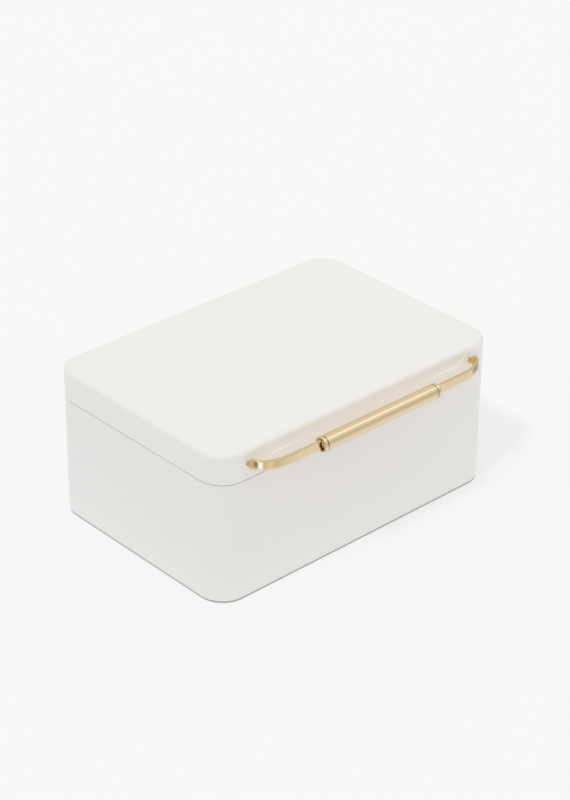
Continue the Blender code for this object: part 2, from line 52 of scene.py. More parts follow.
# Shells
CORNER = 19.0 * MM  # radius of the upright corners
CORNER_STEPS = 20
TOP_FILLET = 3.8 * MM
BASE_EDGE = 0.9 * MM
RIM_EDGE = 0.35 * MM
RIM_RISE = 0.1 * MM  # how far the lacquer stands into the parting gap on each side
WALL = 8.0 * MM
REBATE = 4.0 * MM  # the wall that is left outside the bottom panel
FELT_EDGE = 0.3 * MM

# Clearances
FIT = 0.3 * MM
PLAY = 0.15 * MM  # round screws and studs
OVERCUT = 1.0 * MM  # how far a cutter stands out of the face that it cuts
WELD = 0.002 * MM

# Pull
BEND_LENGTH = 23.5 * MM
BEND_DEPTH = 12.2 * MM
BEND_STEPS = 40
STRIP_HEIGHT = 7.4 * MM
STRIP_THICKNESS = 2.4 * MM
STRIP_SLANT = 3.0 * MM  # how much farther the end's upper corner stands off the lid
STRIP_EDGE = 0.8 * MM
STRIP_TOP_EDGE = 0.5 * MM
STRIP_FOOT_ACROSS = 1.0 * MM  # the lower outer edge is rounded to an upright ellipse
STRIP_FOOT_UP = 2.2 * MM
SLEEVE_BORE = 4.6 * MM
SLEEVE_EDGE = 0.45 * MM
RING_LIP = 4.05 * MM
RING_LIP_DEPTH = 0.9 * MM
RING_EDGE = 0.55 * MM
RING_GROOVE = 0.25 * MM
STUD_RADIUS = 1.1 * MM
STUD_NECK = 0.75 * MM
STUD_ROOT = 4.5 * MM
STUD_DROP = 0.8 * MM
NUT_CHAMFER = 0.3 * MM

# Interior
LINING = 2.4 * MM
LINING_SEAM = 2.6 * MM  # below the lining's upper edge
DIVIDER = 2.4 * MM
DIVIDER_EDGE = 0.8 * MM
RUNNER_END = 2.0 * MM
RUNNER_EDGE = 0.7 * MM
TRAY_GAP = 0.9 * MM
TRAY_CORNER = CORNER - WALL - LINING - TRAY_GAP
TRAY_SEAM_CORNER = 6.7 * MM
TRAY_WALL = 3.0 * MM
TRAY_SEAM = 3.4 * MM  # below the tray's rim
MIRROR_CORNER = 4.0 * MM
MIRROR_BEVEL = 6.0 * MM
FRAME_CROWN = 1.7 * MM  # how far the padded frame round the mirror swells
FRAME_SEAM = 0.13  # where its stitches lie, as a share of the way in to the mirror
STITCH = 2.1 * MM
STITCH_PITCH = 3.1 * MM
STITCH_RISE = 0.28 * MM
STITCH_SINK = 0.08 * MM
THREAD = 0.2 * MM
SOFT_SCALE = 20  # soft pieces are simulated this many times larger
SOFT_FRAMES = 20

# Hinges and magnets
LEAF = 1.3 * MM
LEAF_HALF = 15.0 * MM
LEAF_DEPTH = 5.5 * MM
LEAF_EDGE = 0.15 * MM
KNUCKLE = 2.6 * MM
KNUCKLE_EDGE = 0.25 * MM
KNUCKLE_SPLIT = 7.55 * MM  # from the hinge's middle to where the two leaves' knuckles meet
KNUCKLE_GAP = 0.15 * MM
PIN_RADIUS = 1.0 * MM
PIN_HEAD = 0.7 * MM
BORE_RADIUS = 1.06 * MM
SCREW_HEAD = 1.9 * MM
SCREW_RIM = 0.15 * MM
SCREW_CONE = 0.9 * MM
SCREW_SHANK = 1.0 * MM
SCREW_LENGTH = 9.0 * MM
MAGNET_EDGE = 0.3 * MM

# Light that the pull throws, painted as glows: its warm bounce, and the thin line on the lid's face
# (places in mm)
THROWN_GLOW = 0.22
LINE_GLOW = 0.20
LINE_HEIGHT = 101.6
LINE_WIDTH = 1.3
LINE_LEFT = -79.0
LINE_RIGHT = 90.0

# Studio
AIM = Vector((22.5, 15.1, 56.8)) * MM
CAMERA_DISTANCE = 1.68
CAMERA_AZIMUTH = -42.684
CAMERA_ELEVATION = 30.204
CAMERA_ROLL = 0.5285
CAMERA_LENS = 108.53
LIGHT_TRAVEL = Vector((0.675, 0.135, -1.0))
SUN_SPREAD = 7
KEY_POWER = 0.12
FLOOR_KEY_POWER = 2.75
FLOOR_SIZE = 8.0
FLOOR_GLOW = 0.765
# Share of the floor's glow left under the chest; the dimming there is painted shade.
UNDER_GLOW = 0.42
HORIZON = (0.635, 0.635, 0.720)
ZENITH = (1.240, 1.230, 1.190)
BACKDROP = (0.945, 0.940, 0.930)

BASE_LOW, BASE_HIGH = (Vector(corner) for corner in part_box("base_shell"))
LID_LOW, LID_HIGH = (Vector(corner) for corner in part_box("lid_shell"))
HALF_X, HALF_Y = BASE_HIGH.x, BASE_HIGH.y
FRONT, BACK = BASE_LOW.y, BASE_HIGH.y
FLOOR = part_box("floor_pad")[0][2]
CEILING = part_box("lid_lining")[1][2] + FIT
RIMS = {"base": (-1, BASE_HIGH.z), "lid": (1, LID_LOW.z)}  # the way into each shell, and its height
HINGES = ("hinge_left", "hinge_right")


def span(node):
    """The lowest and highest corners of a CAD node."""
    low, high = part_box(node)
    return Vector(low), Vector(high)


def sided(stem):
    """(name, side, lowest corner, highest corner) of the left and the right node of a pair."""
    return [(f"{stem}_{name}", side, *span(f"{stem}_{name}")) for name, side in SIDES]


# Meshes


def lofted(rings, closed=False):
    """A solid through rings of equal length: capped at both ends, or joined end to start."""
    shape = bmesh.new()
    loops = [[shape.verts.new(point) for point in ring] for ring in rings]
    pairs = list(zip(loops, loops[1:]))
    if closed:
        pairs.append((loops[-1], loops[0]))
    for first, second in pairs:
        for i in range(len(first)):
            j = (i + 1) % len(first)
            shape.faces.new((first[i], first[j], second[j], second[i]))
    if not closed:
        shape.faces.new(list(reversed(loops[0])))
        shape.faces.new(loops[-1])
    bmesh.ops.recalc_face_normals(shape, faces=shape.faces)
    return shape


def rounded_ring(half_x, half_y, radius, z, steps=CORNER_STEPS, centre=(0.0, 0.0)):
    """A rounded rectangle at height z, anticlockwise seen from above."""
    points = []
    for sign_x, sign_y, start in ((1, 1, 0), (-1, 1, 90), (-1, -1, 180), (1, -1, 270)):
        for step in range(steps + 1):
            angle = math.radians(start + 90 * step / steps)
            x = centre[0] + sign_x * (half_x - radius) + radius * math.cos(angle)
            y = centre[1] + sign_y * (half_y - radius) + radius * math.sin(angle)
            points.append(Vector((x, y, z)))
    return points


def chest_ring(inset, z):
    """The chest's outline drawn in by inset, at height z."""
    return rounded_ring(HALF_X - inset, HALF_Y - inset, CORNER - inset, z)


def fillet_rings(edge, z, steps, direction):
    """Rings round an outside edge of the chest. direction is +1 for an edge that faces up."""
    rings = []
    for step in range(steps + 1):
        angle = math.radians(90 * step / steps)
        inset = edge * (1 - math.cos(angle))
        rings.append(chest_ring(inset, z - direction * edge * (1 - math.sin(angle))))
    return rings


def away_from(centre, core_x, core_y, sign=1):
    """A function for the level direction from a core rectangle to a point, or back with sign -1."""

    def direction(point):
        local = point - centre
        near_x = min(max(local.x, -core_x), core_x)
        near_y = min(max(local.y, -core_y), core_y)
        return (local - Vector((near_x, near_y, local.z))).normalized() * sign

    return direction


def downward(_):
    return Vector((0.0, 0.0, -1.0))


def box(low, high):
    shape = bmesh.new()
    bmesh.ops.create_cube(shape, size=1.0)
    size = [b - a for a, b in zip(low, high)]
    middle = [(a + b) / 2 for a, b in zip(low, high)]
    bmesh.ops.scale(shape, vec=size, verts=shape.verts)
    bmesh.ops.translate(shape, vec=middle, verts=shape.verts)
    return shape


def softened(shape, edge, steps=3):
    """Rounds every edge that isn't flat."""
    edges = [e for e in shape.edges if e.calc_face_angle(0.0) > math.radians(25)]
    bmesh.ops.bevel(shape, geom=edges, offset=edge, segments=steps, profile=0.5, affect="EDGES")
    return shape


def turned(profile, centre, axis, segments, closed=False):
    """A solid of revolution. profile holds (radius, distance along the axis) pairs."""
    along = {"X": Vector((1, 0, 0)), "Y": Vector((0, 1, 0)), "Z": Vector((0, 0, 1))}[axis]
    first = along.orthogonal().normalized()
    second = along.cross(first)
    rings = []
    for radius, distance in profile:
        ring = []
        for step in range(segments):
            angle = 2 * math.pi * step / segments
            spoke = first * math.cos(angle) + second * math.sin(angle)
            ring.append(Vector(centre) + along * distance + spoke * radius)
        rings.append(ring)
    return lofted(rings, closed)


def drum(radius, start, end, edge):
    """The profile of a cylinder with chamfered ends."""
    return [(radius - edge, start), (radius, start + edge), (radius, end - edge), (radius - edge, end)]


def extruded(outline, axis, start, end):
    """A prism. outline holds the two coordinates across the axis, in X, Y, Z order."""
    place = "XYZ".index(axis)
    rings = []
    for position in (start, end):
        ring = []
        for pair in outline:
            point = list(pair)
            point.insert(place, position)
            ring.append(Vector(point))
        rings.append(ring)
    return lofted(rings)


def arc(centre, radius, start, end, steps):
    """Points along an arc in a plane, from the start angle to the end angle, in degrees."""
    points = []
    for step in range(steps + 1):
        angle = math.radians(start + (end - start) * step / steps)
        points.append((centre[0] + radius * math.cos(angle), centre[1] + radius * math.sin(angle)))
    return points


def gathered(shapes):
    """Several separate shapes in one mesh."""
    whole = bmesh.new()
    for shape in shapes:
        mesh = bpy.data.meshes.new("gathered")
        shape.to_mesh(mesh)
        shape.free()
        whole.from_mesh(mesh)
        bpy.data.meshes.remove(mesh)
    return whole


def link(name, shape):
    mesh = bpy.data.meshes.new(name)
    shape.to_mesh(mesh)
    shape.free()
    obj = bpy.data.objects.new(name, mesh)
    bpy.context.scene.collection.objects.link(obj)
    return obj


def keep_evaluated(obj):
    """Replaces the object's mesh with what its modifiers make of it."""
    graph = bpy.context.evaluated_depsgraph_get()
    made = bpy.data.meshes.new_from_object(obj.evaluated_get(graph))
    obj.modifiers.clear()
    obj.data = made
    made.name = obj.name


def combined(obj, shape, operation="DIFFERENCE"):
    """Cuts a shape out of an object, or joins it on, and keeps the result as a clean mesh."""
    helper = link("helper", shape)
    modifier = obj.modifiers.new("combine", "BOOLEAN")
    modifier.operation = operation
    modifier.solver = "EXACT"
    modifier.object = helper
    keep_evaluated(obj)
    bpy.data.objects.remove(helper)
    cleaned = bmesh.new()
    cleaned.from_mesh(obj.data)
    bmesh.ops.remove_doubles(cleaned, verts=cleaned.verts, dist=WELD)
    bmesh.ops.dissolve_degenerate(cleaned, edges=cleaned.edges, dist=WELD)
    cleaned.to_mesh(obj.data)
    cleaned.free()


def finished(obj, body, look, slot, nodes=(), sharp=35, weighted=True):
    """Shades a piece, gives it its material, and puts it on its body."""
    obj.data.shade_smooth()
    obj.data.set_sharp_from_angle(angle=math.radians(sharp))
    if weighted:
        modifier = obj.modifiers.new("weighted_normals", "WEIGHTED_NORMAL")
        modifier.keep_sharp = True
        modifier.weight = 100
    obj.data.materials.clear()
    obj.data.materials.append(look)
    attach(obj, body)
    if nodes:
        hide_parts(*nodes)


def piece(name, shape, *finish, **shading):
    """A shape as a finished object, with the arguments of finished()."""
    finished(link(name, shape), *finish, **shading)


def inflated(name, shape, voxel, pressure, cap):
    """Blows a soft shape up a little with cloth simulation, which wrinkles and rounds its cover."""
    obj = link(name, shape)
    obj.data.transform(Matrix.Scale(SOFT_SCALE, 4))
    remesh = obj.modifiers.new("remesh", "REMESH")
    remesh.mode = "VOXEL"
    remesh.voxel_size = voxel * SOFT_SCALE
    keep_evaluated(obj)
    start = [vertex.co.copy() for vertex in obj.data.vertices]
    cloth = obj.modifiers.new("cloth", "CLOTH").settings
    cloth.quality = 5
    cloth.use_pressure = True
    cloth.uniform_pressure_force = pressure
    cloth.effector_weights.gravity = 0.0
    cloth.shrink_min = -0.03
    cloth.bending_stiffness = 0.4
    scene = bpy.context.scene
    for frame_number in range(1, SOFT_FRAMES + 1):
        scene.frame_set(frame_number)
    keep_evaluated(obj)
    scene.frame_set(1)
    limit = cap * SOFT_SCALE
    for vertex, before in zip(obj.data.vertices, start):
        move = vertex.co - before
        if move.length > limit:
            vertex.co = before + move * (limit / move.length)
    obj.data.transform(Matrix.Scale(1 / SOFT_SCALE, 4))
    smooth = obj.modifiers.new("smooth", "SUBSURF")
    smooth.levels = 1
    keep_evaluated(obj)
    return obj


def kept_inside(obj, low, high):
    """Presses a soft piece flat where it meets its neighbours."""
    for vertex in obj.data.vertices:
        for axis in range(3):
            vertex.co[axis] = min(max(vertex.co[axis], low[axis]), high[axis])


def stitch(middle, along, out):
    """One short thread that dives in at both ends."""
    side = along.cross(out)
    rings = []
    for step in range(5):
        t = step / 4 - 0.5
        rise = STITCH_RISE * math.cos(math.pi * t * 1.15) - STITCH_SINK
        hub = middle + along * (STITCH * t) + out * rise
        ring = []
        for corner in range(6):
            angle = math.pi * corner / 3
            ring.append(hub + (out * math.cos(angle) + side * math.sin(angle)) * THREAD)
        rings.append(ring)
    return lofted(rings)


def stitch_row(name, path, outward, body, look):
    """A row of stitches along a closed path. outward gives the way out of the cloth at a point."""
    lengths = [(b - a).length for a, b in zip(path, path[1:] + path[:1])]
    count = round(sum(lengths) / STITCH_PITCH)
    pitch = sum(lengths) / count
    stitches = []
    index, walked = 0, 0.0
    for number in range(count):
        target = number * pitch
        while walked + lengths[index] < target:
            walked += lengths[index]
            index += 1
        start, end = path[index], path[(index + 1) % len(path)]
        along = (end - start).normalized()
        middle = start + along * (target - walked)
        stitches.append(stitch(middle, along, outward(middle)))
    piece(name, gathered(stitches), body, look["thread"], "suede", sharp=60, weighted=False)


# Materials


class Nodes:
    """A shader tree, with short ways to add nodes and to feed their inputs."""

    def __init__(self, tree):
        self.tree = tree

    def add(self, kind, **settings):
        node = self.tree.nodes.new(kind)
        for key, value in settings.items():
            setattr(node, key, value)
        return node

    def give(self, socket, value):
        """Feeds an input with an output, a number or a colour of three numbers."""
        if isinstance(value, bpy.types.NodeSocket):
            self.tree.links.new(value, socket)
        elif hasattr(value, "__len__"):
            socket.default_value = (*value, 1.0)
        else:
            socket.default_value = value

    def split(self, vector):
        """The X, Y and Z of a vector."""
        node = self.add("ShaderNodeSeparateXYZ")
        self.give(node.inputs["Vector"], vector)
        return [node.outputs[axis] for axis in "XYZ"]

    def mixed(self, factor, first, second, blend="MIX"):
        """Mixes two colours by a factor, which is a number or an output."""
        node = self.add("ShaderNodeMix", data_type="RGBA", blend_type=blend)
        for socket, value in zip((0, 6, 7), (factor, first, second)):
            self.give(node.inputs[socket], value)
        return node.outputs[2]


class Look(Nodes):
    """A Principled material whose inputs are fed by procedural nodes in object space."""

    def __init__(self, name, **inputs):
        self.material = bpy.data.materials.new(name)
        self.material.use_nodes = True
        super().__init__(self.material.node_tree)
        self.shader = self.tree.nodes["Principled BSDF"]
        self.place = self.add("ShaderNodeTexCoord").outputs["Object"]
        self.feed(**inputs)

    def feed(self, **inputs):
        """Feeds the shader's inputs, whose names have _ for a space."""
        for key, value in inputs.items():
            self.give(self.shader.inputs[key.replace("_", " ")], value)
        return self.material

    def stretched(self, scale):
        """Object coordinates scaled by (x, y, z), for grain with a direction."""
        mapping = self.add("ShaderNodeMapping")
        mapping.inputs["Scale"].default_value = scale
        self.give(mapping.inputs["Vector"], self.place)
        return mapping.outputs["Vector"]

    def noise(self, scale, detail=3.0, roughness=0.5, place=None):
        node = self.add("ShaderNodeTexNoise")
        values = {"Scale": scale, "Detail": detail, "Roughness": roughness, "Vector": place or self.place}
        for key, value in values.items():
            self.give(node.inputs[key], value)
        return node.outputs["Fac"]

    def waves(self, scale, direction):
        node = self.add("ShaderNodeTexWave", bands_direction=direction)
        node.inputs["Scale"].default_value = scale
        self.give(node.inputs["Vector"], self.place)
        return node.outputs["Fac"]

    def ramp(self, factor, *stops):
        """stops holds (position, colour) pairs; a colour is a number or three numbers."""
        node = self.add("ShaderNodeValToRGB")
        elements = node.color_ramp.elements
        while len(elements) < len(stops):
            elements.new(0.5)
        for element, (position, colour) in zip(elements, stops):
            element.position = position
            if not hasattr(colour, "__len__"):
                colour = (colour,) * 3
            element.color = (*colour, 1.0)
        self.give(node.inputs["Fac"], factor)
        return node.outputs["Color"]

    def between(self, pattern, low, high):
        """A ramp over the middle of a pattern's range."""
        return self.ramp(pattern, (0.3, low), (0.7, high))

    def shaded(self, tint, pattern, darkest, share=1.0):
        """The tint, darkened in the low parts of a pattern."""
        return self.mixed(share, tint, self.between(pattern, darkest, 1.0), "MULTIPLY")

    def swept(self, turns, *stops):
        """A ramp over a bearing. stops holds (degrees, colour) pairs."""
        return self.ramp(turns, *((degrees / 360, colour) for degrees, colour in stops))

    def maths(self, operation, first, second=0.0):
        node = self.add("ShaderNodeMath", operation=operation)
        self.give(node.inputs[0], first)
        self.give(node.inputs[1], second)
        return node.outputs["Value"]

    def times(self, first, second):
        return self.maths("MULTIPLY", first, second)

    def beyond(self, value, limit):
        """How far a value is over a limit, and 0 below it."""
        return self.maths("MAXIMUM", self.maths("SUBTRACT", value, limit), 0.0)

    def ranged(self, value, low, high):
        """0 at low, 1 at high, and clamped outside them."""
        node = self.add("ShaderNodeMapRange")
        node.inputs["From Min"].default_value = low
        node.inputs["From Max"].default_value = high
        self.give(node.inputs["Value"], value)
        return node.outputs["Result"]

    def bump(self, height, strength, distance, below=None):
        node = self.add("ShaderNodeBump")
        node.inputs["Strength"].default_value = strength
        node.inputs["Distance"].default_value = distance
        self.give(node.inputs["Height"], height)
        if below:
            self.give(node.inputs["Normal"], below)
        return node.outputs["Normal"]

    def mirrored_way(self):
        """The X, Y and Z of the direction that the surface mirrors."""
        return self.split(self.add("ShaderNodeTexCoord").outputs["Reflection"])

    def bearing(self, across, ahead):
        """The angle of a direction in one plane, from 0 to 1 for a full turn."""
        turns = self.maths("DIVIDE", self.maths("ARCTAN2", across, ahead), 2 * math.pi)
        return self.maths("FRACT", self.maths("ADD", turns, 1.0))

    def warming(self, tint):
        """The tint, with a painted brighter gold and orange glow in the light that the metal throws on
        its neighbours, seen only by diffuse rays.
        """
        thrown = self.add("ShaderNodeLightPath").outputs["Is Diffuse Ray"]
        glow = self.times(thrown, THROWN_GLOW)
        self.feed(Emission_Color=(1.0, 0.42, 0.02), Emission_Strength=glow)
        return self.mixed(thrown, tint, (1.0, 0.86, 0.56))


def make_lacquer(name):
    """White satin lacquer: mottling, orange peel, softer in rubbed patches, and lightest at the foot,
    where floor bounce is painted into its colour.
    """
    look = Look(name, IOR=1.48, Coat_Weight=0.3, Coat_Roughness=0.2)
    cloud = look.noise(9.0, 2.0)
    tint = look.ramp(cloud, (0.25, (0.833, 0.819, 0.789)), (0.75, (0.843, 0.831, 0.802)))
    height = look.ranged(look.split(look.place)[2], 0.0, LID_LOW.z)
    # Painted floor bounce: lightest at the foot, darker higher up.
    painted_floor_bounce = look.ramp(height, (0.06, 1.0), (0.32, 0.968), (0.99, 0.952), (1.0, 0.968))
    gloss = look.ramp(look.noise(38.0, 4.0, 0.6), (0.35, 0.32), (0.75, 0.40))
    peel = look.bump(look.noise(520.0, 2.0, 0.4), 0.06, 0.02 * MM)
    dust = look.bump(look.noise(2600.0, 1.0), 0.04, 0.01 * MM, peel)
    look.feed(Base_Color=look.mixed(1.0, tint, painted_floor_bounce, "MULTIPLY"), Roughness=gloss, Normal=dust)
    return look


def make_lid_lacquer():
    """The same lacquer, with the thin line of light that the pull's bends throw on the lid's face painted
    on as a glow.
    """
    look = make_lacquer("white_lacquer_lid")
    across, deep, up = look.split(look.place)
    x = look.maths("DIVIDE", across, MM)
    z = look.maths("DIVIDE", up, MM)
    drop = look.times(look.maths("POWER", look.beyond(LINE_LEFT, x), 2.0), 0.35)
    past_right = look.beyond(x, LINE_RIGHT)
    rise = look.times(past_right, 0.95)
    line = look.maths("ADD", look.maths("SUBTRACT", LINE_HEIGHT, drop), rise)
    away = look.maths("ABSOLUTE", look.maths("SUBTRACT", z, line))
    width = look.maths("ADD", look.times(past_right, 0.35), LINE_WIDTH)
    core = look.ranged(look.maths("DIVIDE", away, width), 1.0, 0.0)
    inner_fade = look.ranged(look.maths("ABSOLUTE", x), 40.0, 78.0)
    fades = look.times(inner_fade, look.ranged(x, 97.5, 95.0))
    front = look.ranged(deep, FRONT + 0.4 * MM, FRONT + 0.1 * MM)
    strength = look.times(look.maths("POWER", core, 2.0), look.times(fades, front))
    look.feed(Emission_Color=(1.0, 0.95, 0.72), Emission_Strength=look.times(strength, LINE_GLOW))
    return look


def make_polished():
    """Polished brass. Its bends show the dark and bright sides of the room, painted into its colour as
    reflections by the way the surface mirrors.
    """
    look = Look("polished_brass", Metallic=1.0)
    # Colours of the painted reflection bands.
    beige = (0.790, 0.640, 0.415)
    olive = (0.620, 0.510, 0.285)
    reflected_dark = (0.330, 0.220, 0.080)
    gold = (0.840, 0.600, 0.260)
    tan = (0.600, 0.455, 0.220)
    way_x, way_y, way_z = look.mirrored_way()
    bearing = look.bearing(way_y, way_x)
    # Painted reflection: the colour follows the bearing of the mirrored direction round the room.
    room = look.swept(
        bearing,
        (4, (0.720, 0.580, 0.360)),
        (60, (0.700, 0.560, 0.340)),
        (92, gold),
        (135, gold),
        (158, tan),
        (202, tan),
        # A painted white highlight.
        (213, (1.0, 0.99, 0.95)),
        (227, (1.0, 0.98, 0.90)),
        (237, (0.640, 0.520, 0.260)),
        (246, olive),
        (254, (0.760, 0.615, 0.400)),
        (263, (0.740, 0.595, 0.380)),
        (276, olive),
        (312, beige),
        (335, beige),
    )
    # Painted dark reflection on the strip's upper half, at these bearings.
    reflected_dark_arcs = ((0, 1), (50, 1), (68, 0), (168, 0), (180, 1), (199, 1), (208, 0), (338, 0), (352, 1))
    upper_half = look.ranged(look.split(look.place)[2], 101.4 * MM, 103.2 * MM)
    room = look.mixed(look.times(look.swept(bearing, *reflected_dark_arcs), upper_half), room, reflected_dark)
    # Painted reflections of what lies above and, lower down, of the bright floor, by how steeply the
    # mirrored direction points.
    upper = look.mixed(look.ranged(way_z, -0.40, 0.15), room, (0.640, 0.505, 0.265))
    lower = look.mixed(look.ranged(way_z, -0.56, -0.72), upper, (0.840, 0.700, 0.450))
    tint = look.shaded(lower, look.noise(60.0, 3.0), 0.96)
    drawn = look.noise(900.0, 3.0, 0.6, look.stretched((0.03, 1.0, 1.0)))
    lines = look.bump(drawn, 0.08, 0.01 * MM)
    marks = look.bump(look.noise(2200.0, 2.0, 0.7), 0.04, 0.006 * MM, lines)
    gloss = look.between(drawn, 0.12, 0.19)
    return look.feed(Base_Color=look.warming(tint), Roughness=gloss, Normal=marks)


def make_satin():
    """Satin brass brushed along the sleeve, with the soft bands a tube shows in studio light painted into
    its colour as reflections.
    """
    look = Look("satin_brass", Metallic=1.0)
    _, way_y, way_z = look.mirrored_way()
    # Painted reflection bands, by the bearing of the mirrored direction round the sleeve.
    room = look.swept(
        look.bearing(way_z, look.times(way_y, -1.0)),
        (6, (0.710, 0.580, 0.350)),
        (24, (0.700, 0.565, 0.325)),
        (44, (0.740, 0.590, 0.370)),
        (62, (0.800, 0.650, 0.430)),
        (74, (0.920, 0.810, 0.580)),
        (82, (0.930, 0.820, 0.580)),
        (92, (0.720, 0.570, 0.310)),
        (120, (0.660, 0.530, 0.290)),
        (160, (0.670, 0.550, 0.340)),
        (200, (0.620, 0.490, 0.300)),
        (262, (0.680, 0.545, 0.370)),
        (285, (0.800, 0.660, 0.460)),
        (312, (0.830, 0.680, 0.460)),
        (340, (0.720, 0.590, 0.370)),
    )
    tint = look.shaded(room, look.noise(45.0, 3.0), 0.97)
    # A painted golden sheen towards the edges that turn away from the view.
    facing = look.add("ShaderNodeLayerWeight").outputs["Facing"]
    rim = look.times(look.ranged(facing, 0.38, 0.56), 0.22)
    tint = look.mixed(rim, tint, (0.980, 0.850, 0.460))
    brushed = look.noise(700.0, 2.0, 0.5, look.stretched((0.04, 1.0, 1.0)))
    lines = look.bump(brushed, 0.05, 0.008 * MM)
    gloss = look.between(brushed, 0.20, 0.27)
    return look.feed(Base_Color=look.warming(tint), Roughness=gloss, Normal=lines)


def make_fitting():
    """Plain drawn brass of the hinges, screws, studs and nuts."""
    look = Look("fitting_brass", Metallic=1.0)
    tint = look.between(look.noise(80.0, 3.0), (0.70, 0.55, 0.32), (0.79, 0.64, 0.40))
    drawn = look.noise(1100.0, 3.0, 0.6, look.stretched((0.05, 1.0, 1.0)))
    lines = look.bump(drawn, 0.3, 0.01 * MM)
    return look.feed(Base_Color=tint, Roughness=look.between(drawn, 0.24, 0.38), Normal=lines)


def make_suede(name, dark, light):
    """Brushed suede: a short nap that lies in patches, and fine fibres."""
    look = Look(name, Sheen_Weight=0.45, Sheen_Roughness=0.4, Specular_IOR_Level=0.15)
    patches = look.noise(55.0, 3.0, 0.55)
    fibre = look.noise(3200.0, 3.0, 0.7)
    tint = look.shaded(look.ramp(patches, (0.32, dark), (0.68, light)), fibre, 0.72, 0.35)
    nap = look.bump(look.noise(900.0, 3.0, 0.6), 0.35, 0.06 * MM)
    pile = look.bump(fibre, 0.5, 0.04 * MM, nap)
    return look.feed(Base_Color=tint, Roughness=look.between(patches, 0.98, 0.86), Normal=pile)


def make_felt():
    look = Look("grey_felt", Sheen_Weight=0.3, Specular_IOR_Level=0.1)
    fibre = look.noise(1800.0, 4.0, 0.7, look.stretched((1.0, 0.6, 1.0)))
    tint = look.between(fibre, (0.13, 0.125, 0.12), (0.23, 0.22, 0.21))
    gloss = look.between(look.noise(300.0), 0.9, 1.0)
    return look.feed(Base_Color=tint, Roughness=gloss, Normal=look.bump(fibre, 0.6, 0.1 * MM))


def make_ribbon():
    """Gold grosgrain ribbon: ribs across it and fine threads along it."""
    look = Look("gold_ribbon", Sheen_Weight=0.2)
    weave = look.mixed(0.5, look.waves(420.0, "Z"), look.waves(900.0, "X"))
    tint = look.ramp(weave, (0.2, (0.50, 0.37, 0.19)), (0.8, (0.72, 0.57, 0.34)))
    gloss = look.between(look.noise(500.0), 0.40, 0.55)
    return look.feed(Base_Color=tint, Roughness=gloss, Normal=look.bump(weave, 0.6, 0.12 * MM))


def make_thread():
    look = Look("cream_thread", Sheen_Weight=0.3)
    twist = look.waves(1500.0, "DIAGONAL")
    tint = look.ramp(twist, (0.2, (0.70, 0.62, 0.50)), (0.8, (0.88, 0.81, 0.70)))
    gloss = look.between(look.noise(900.0), 0.5, 0.65)
    return look.feed(Base_Color=tint, Roughness=gloss, Normal=look.bump(twist, 0.5, 0.04 * MM))


def make_mirror():
    look = Look("silvered_glass", Metallic=1.0)
    tint = look.between(look.noise(25.0, 3.0), (0.86, 0.885, 0.88), (0.90, 0.92, 0.915))
    gloss = look.ramp(look.noise(70.0, 5.0, 0.7), (0.4, 0.015), (0.8, 0.05))
    wavy = look.bump(look.noise(12.0, 1.0), 0.02, 0.05 * MM)
    return look.feed(Base_Color=tint, Roughness=gloss, Normal=wavy)


def make_steel():
    look = Look("nickel_plate", Metallic=1.0)
    tint = look.between(look.noise(300.0, 3.0), (0.52, 0.52, 0.53), (0.66, 0.66, 0.67))
    ground = look.noise(2400.0, 2.0, 0.6, look.stretched((0.1, 1.0, 1.0)))
    gloss = look.between(ground, 0.22, 0.4)
    return look.feed(Base_Color=tint, Roughness=gloss, Normal=look.bump(ground, 0.3, 0.01 * MM))


def make_board():
    look = Look("sealed_board", Specular_IOR_Level=0.3)
    grain = look.noise(300.0, 5.0, 0.7, look.stretched((0.08, 1.0, 1.0)))
    tint = look.between(grain, (0.50, 0.42, 0.33), (0.62, 0.54, 0.44))
    gloss = look.between(look.noise(90.0), 0.6, 0.8)
    return look.feed(Base_Color=tint, Roughness=gloss, Normal=look.bump(grain, 0.3, 0.1 * MM))


def make_looks():
    return {
        "lacquer": make_lacquer("white_lacquer").material,
        "lid_lacquer": make_lid_lacquer().material,
        "polished": make_polished(),
        "satin": make_satin(),
        "fitting": make_fitting(),
        "suede": make_suede("cream_suede", (0.72, 0.65, 0.56), (0.77, 0.71, 0.62)),
        "velvet": make_suede("cream_velvet", (0.76, 0.70, 0.61), (0.81, 0.75, 0.67)),
        "felt": make_felt(),
        "ribbon": make_ribbon(),
        "thread": make_thread(),
        "mirror": make_mirror(),
        "steel": make_steel(),
        "board": make_board(),
    }


# Shells, and the room that they make for fittings


def screw_profile(body, play):
    """Countersunk screw, or with play the hole that takes it, from the leaf's open face inwards."""
    facing, surface = RIMS[body]
    return [
        (SCREW_HEAD + play, surface - facing * play),
        (SCREW_HEAD + play, surface + facing * SCREW_RIM),
        (SCREW_SHANK + play, surface + facing * SCREW_CONE),
        (SCREW_SHANK + play, surface + facing * (SCREW_LENGTH + play)),
    ]


def level_middle(low, high):
    return Vector(((low.x + high.x) / 2, (low.y + high.y) / 2, 0.0))


def screws(body):
    """(node, middle of the head) of each hinge screw that a body holds."""
    nodes = [f"hinge_screw_{body}_{name}_{number}" for name, _ in SIDES for number in (1, 2)]
    return [(node, level_middle(*span(node))) for node in nodes]


def rim_cutters(body):
    """The mortises, and then the screw holes and magnet pockets, in one shell's rim."""
    facing, surface = RIMS[body]
    open_end = surface - facing * OVERCUT
    bottom = surface + facing * (LEAF + FIT)
    mortises = []
    for name in HINGES:
        low, high = span(f"{name}_{body}_leaf")
        corner = (low.x - FIT, BACK - LEAF_DEPTH - FIT, min(open_end, bottom))
        mortises.append(box(corner, (high.x + FIT, BACK + OVERCUT, max(open_end, bottom))))
    holes = [turned(screw_profile(body, PLAY), centre, "Z", 32) for _, centre in screws(body)]
    for _, _, low, high in sided(f"magnet_{body}"):
        radius = (high.x - low.x) / 2 + FIT
        end = surface + facing * (high.z - low.z + 2 * FIT)
        holes.append(turned([(radius, open_end), (radius, end)], level_middle(low, high), "Z", 48))
    return mortises, holes


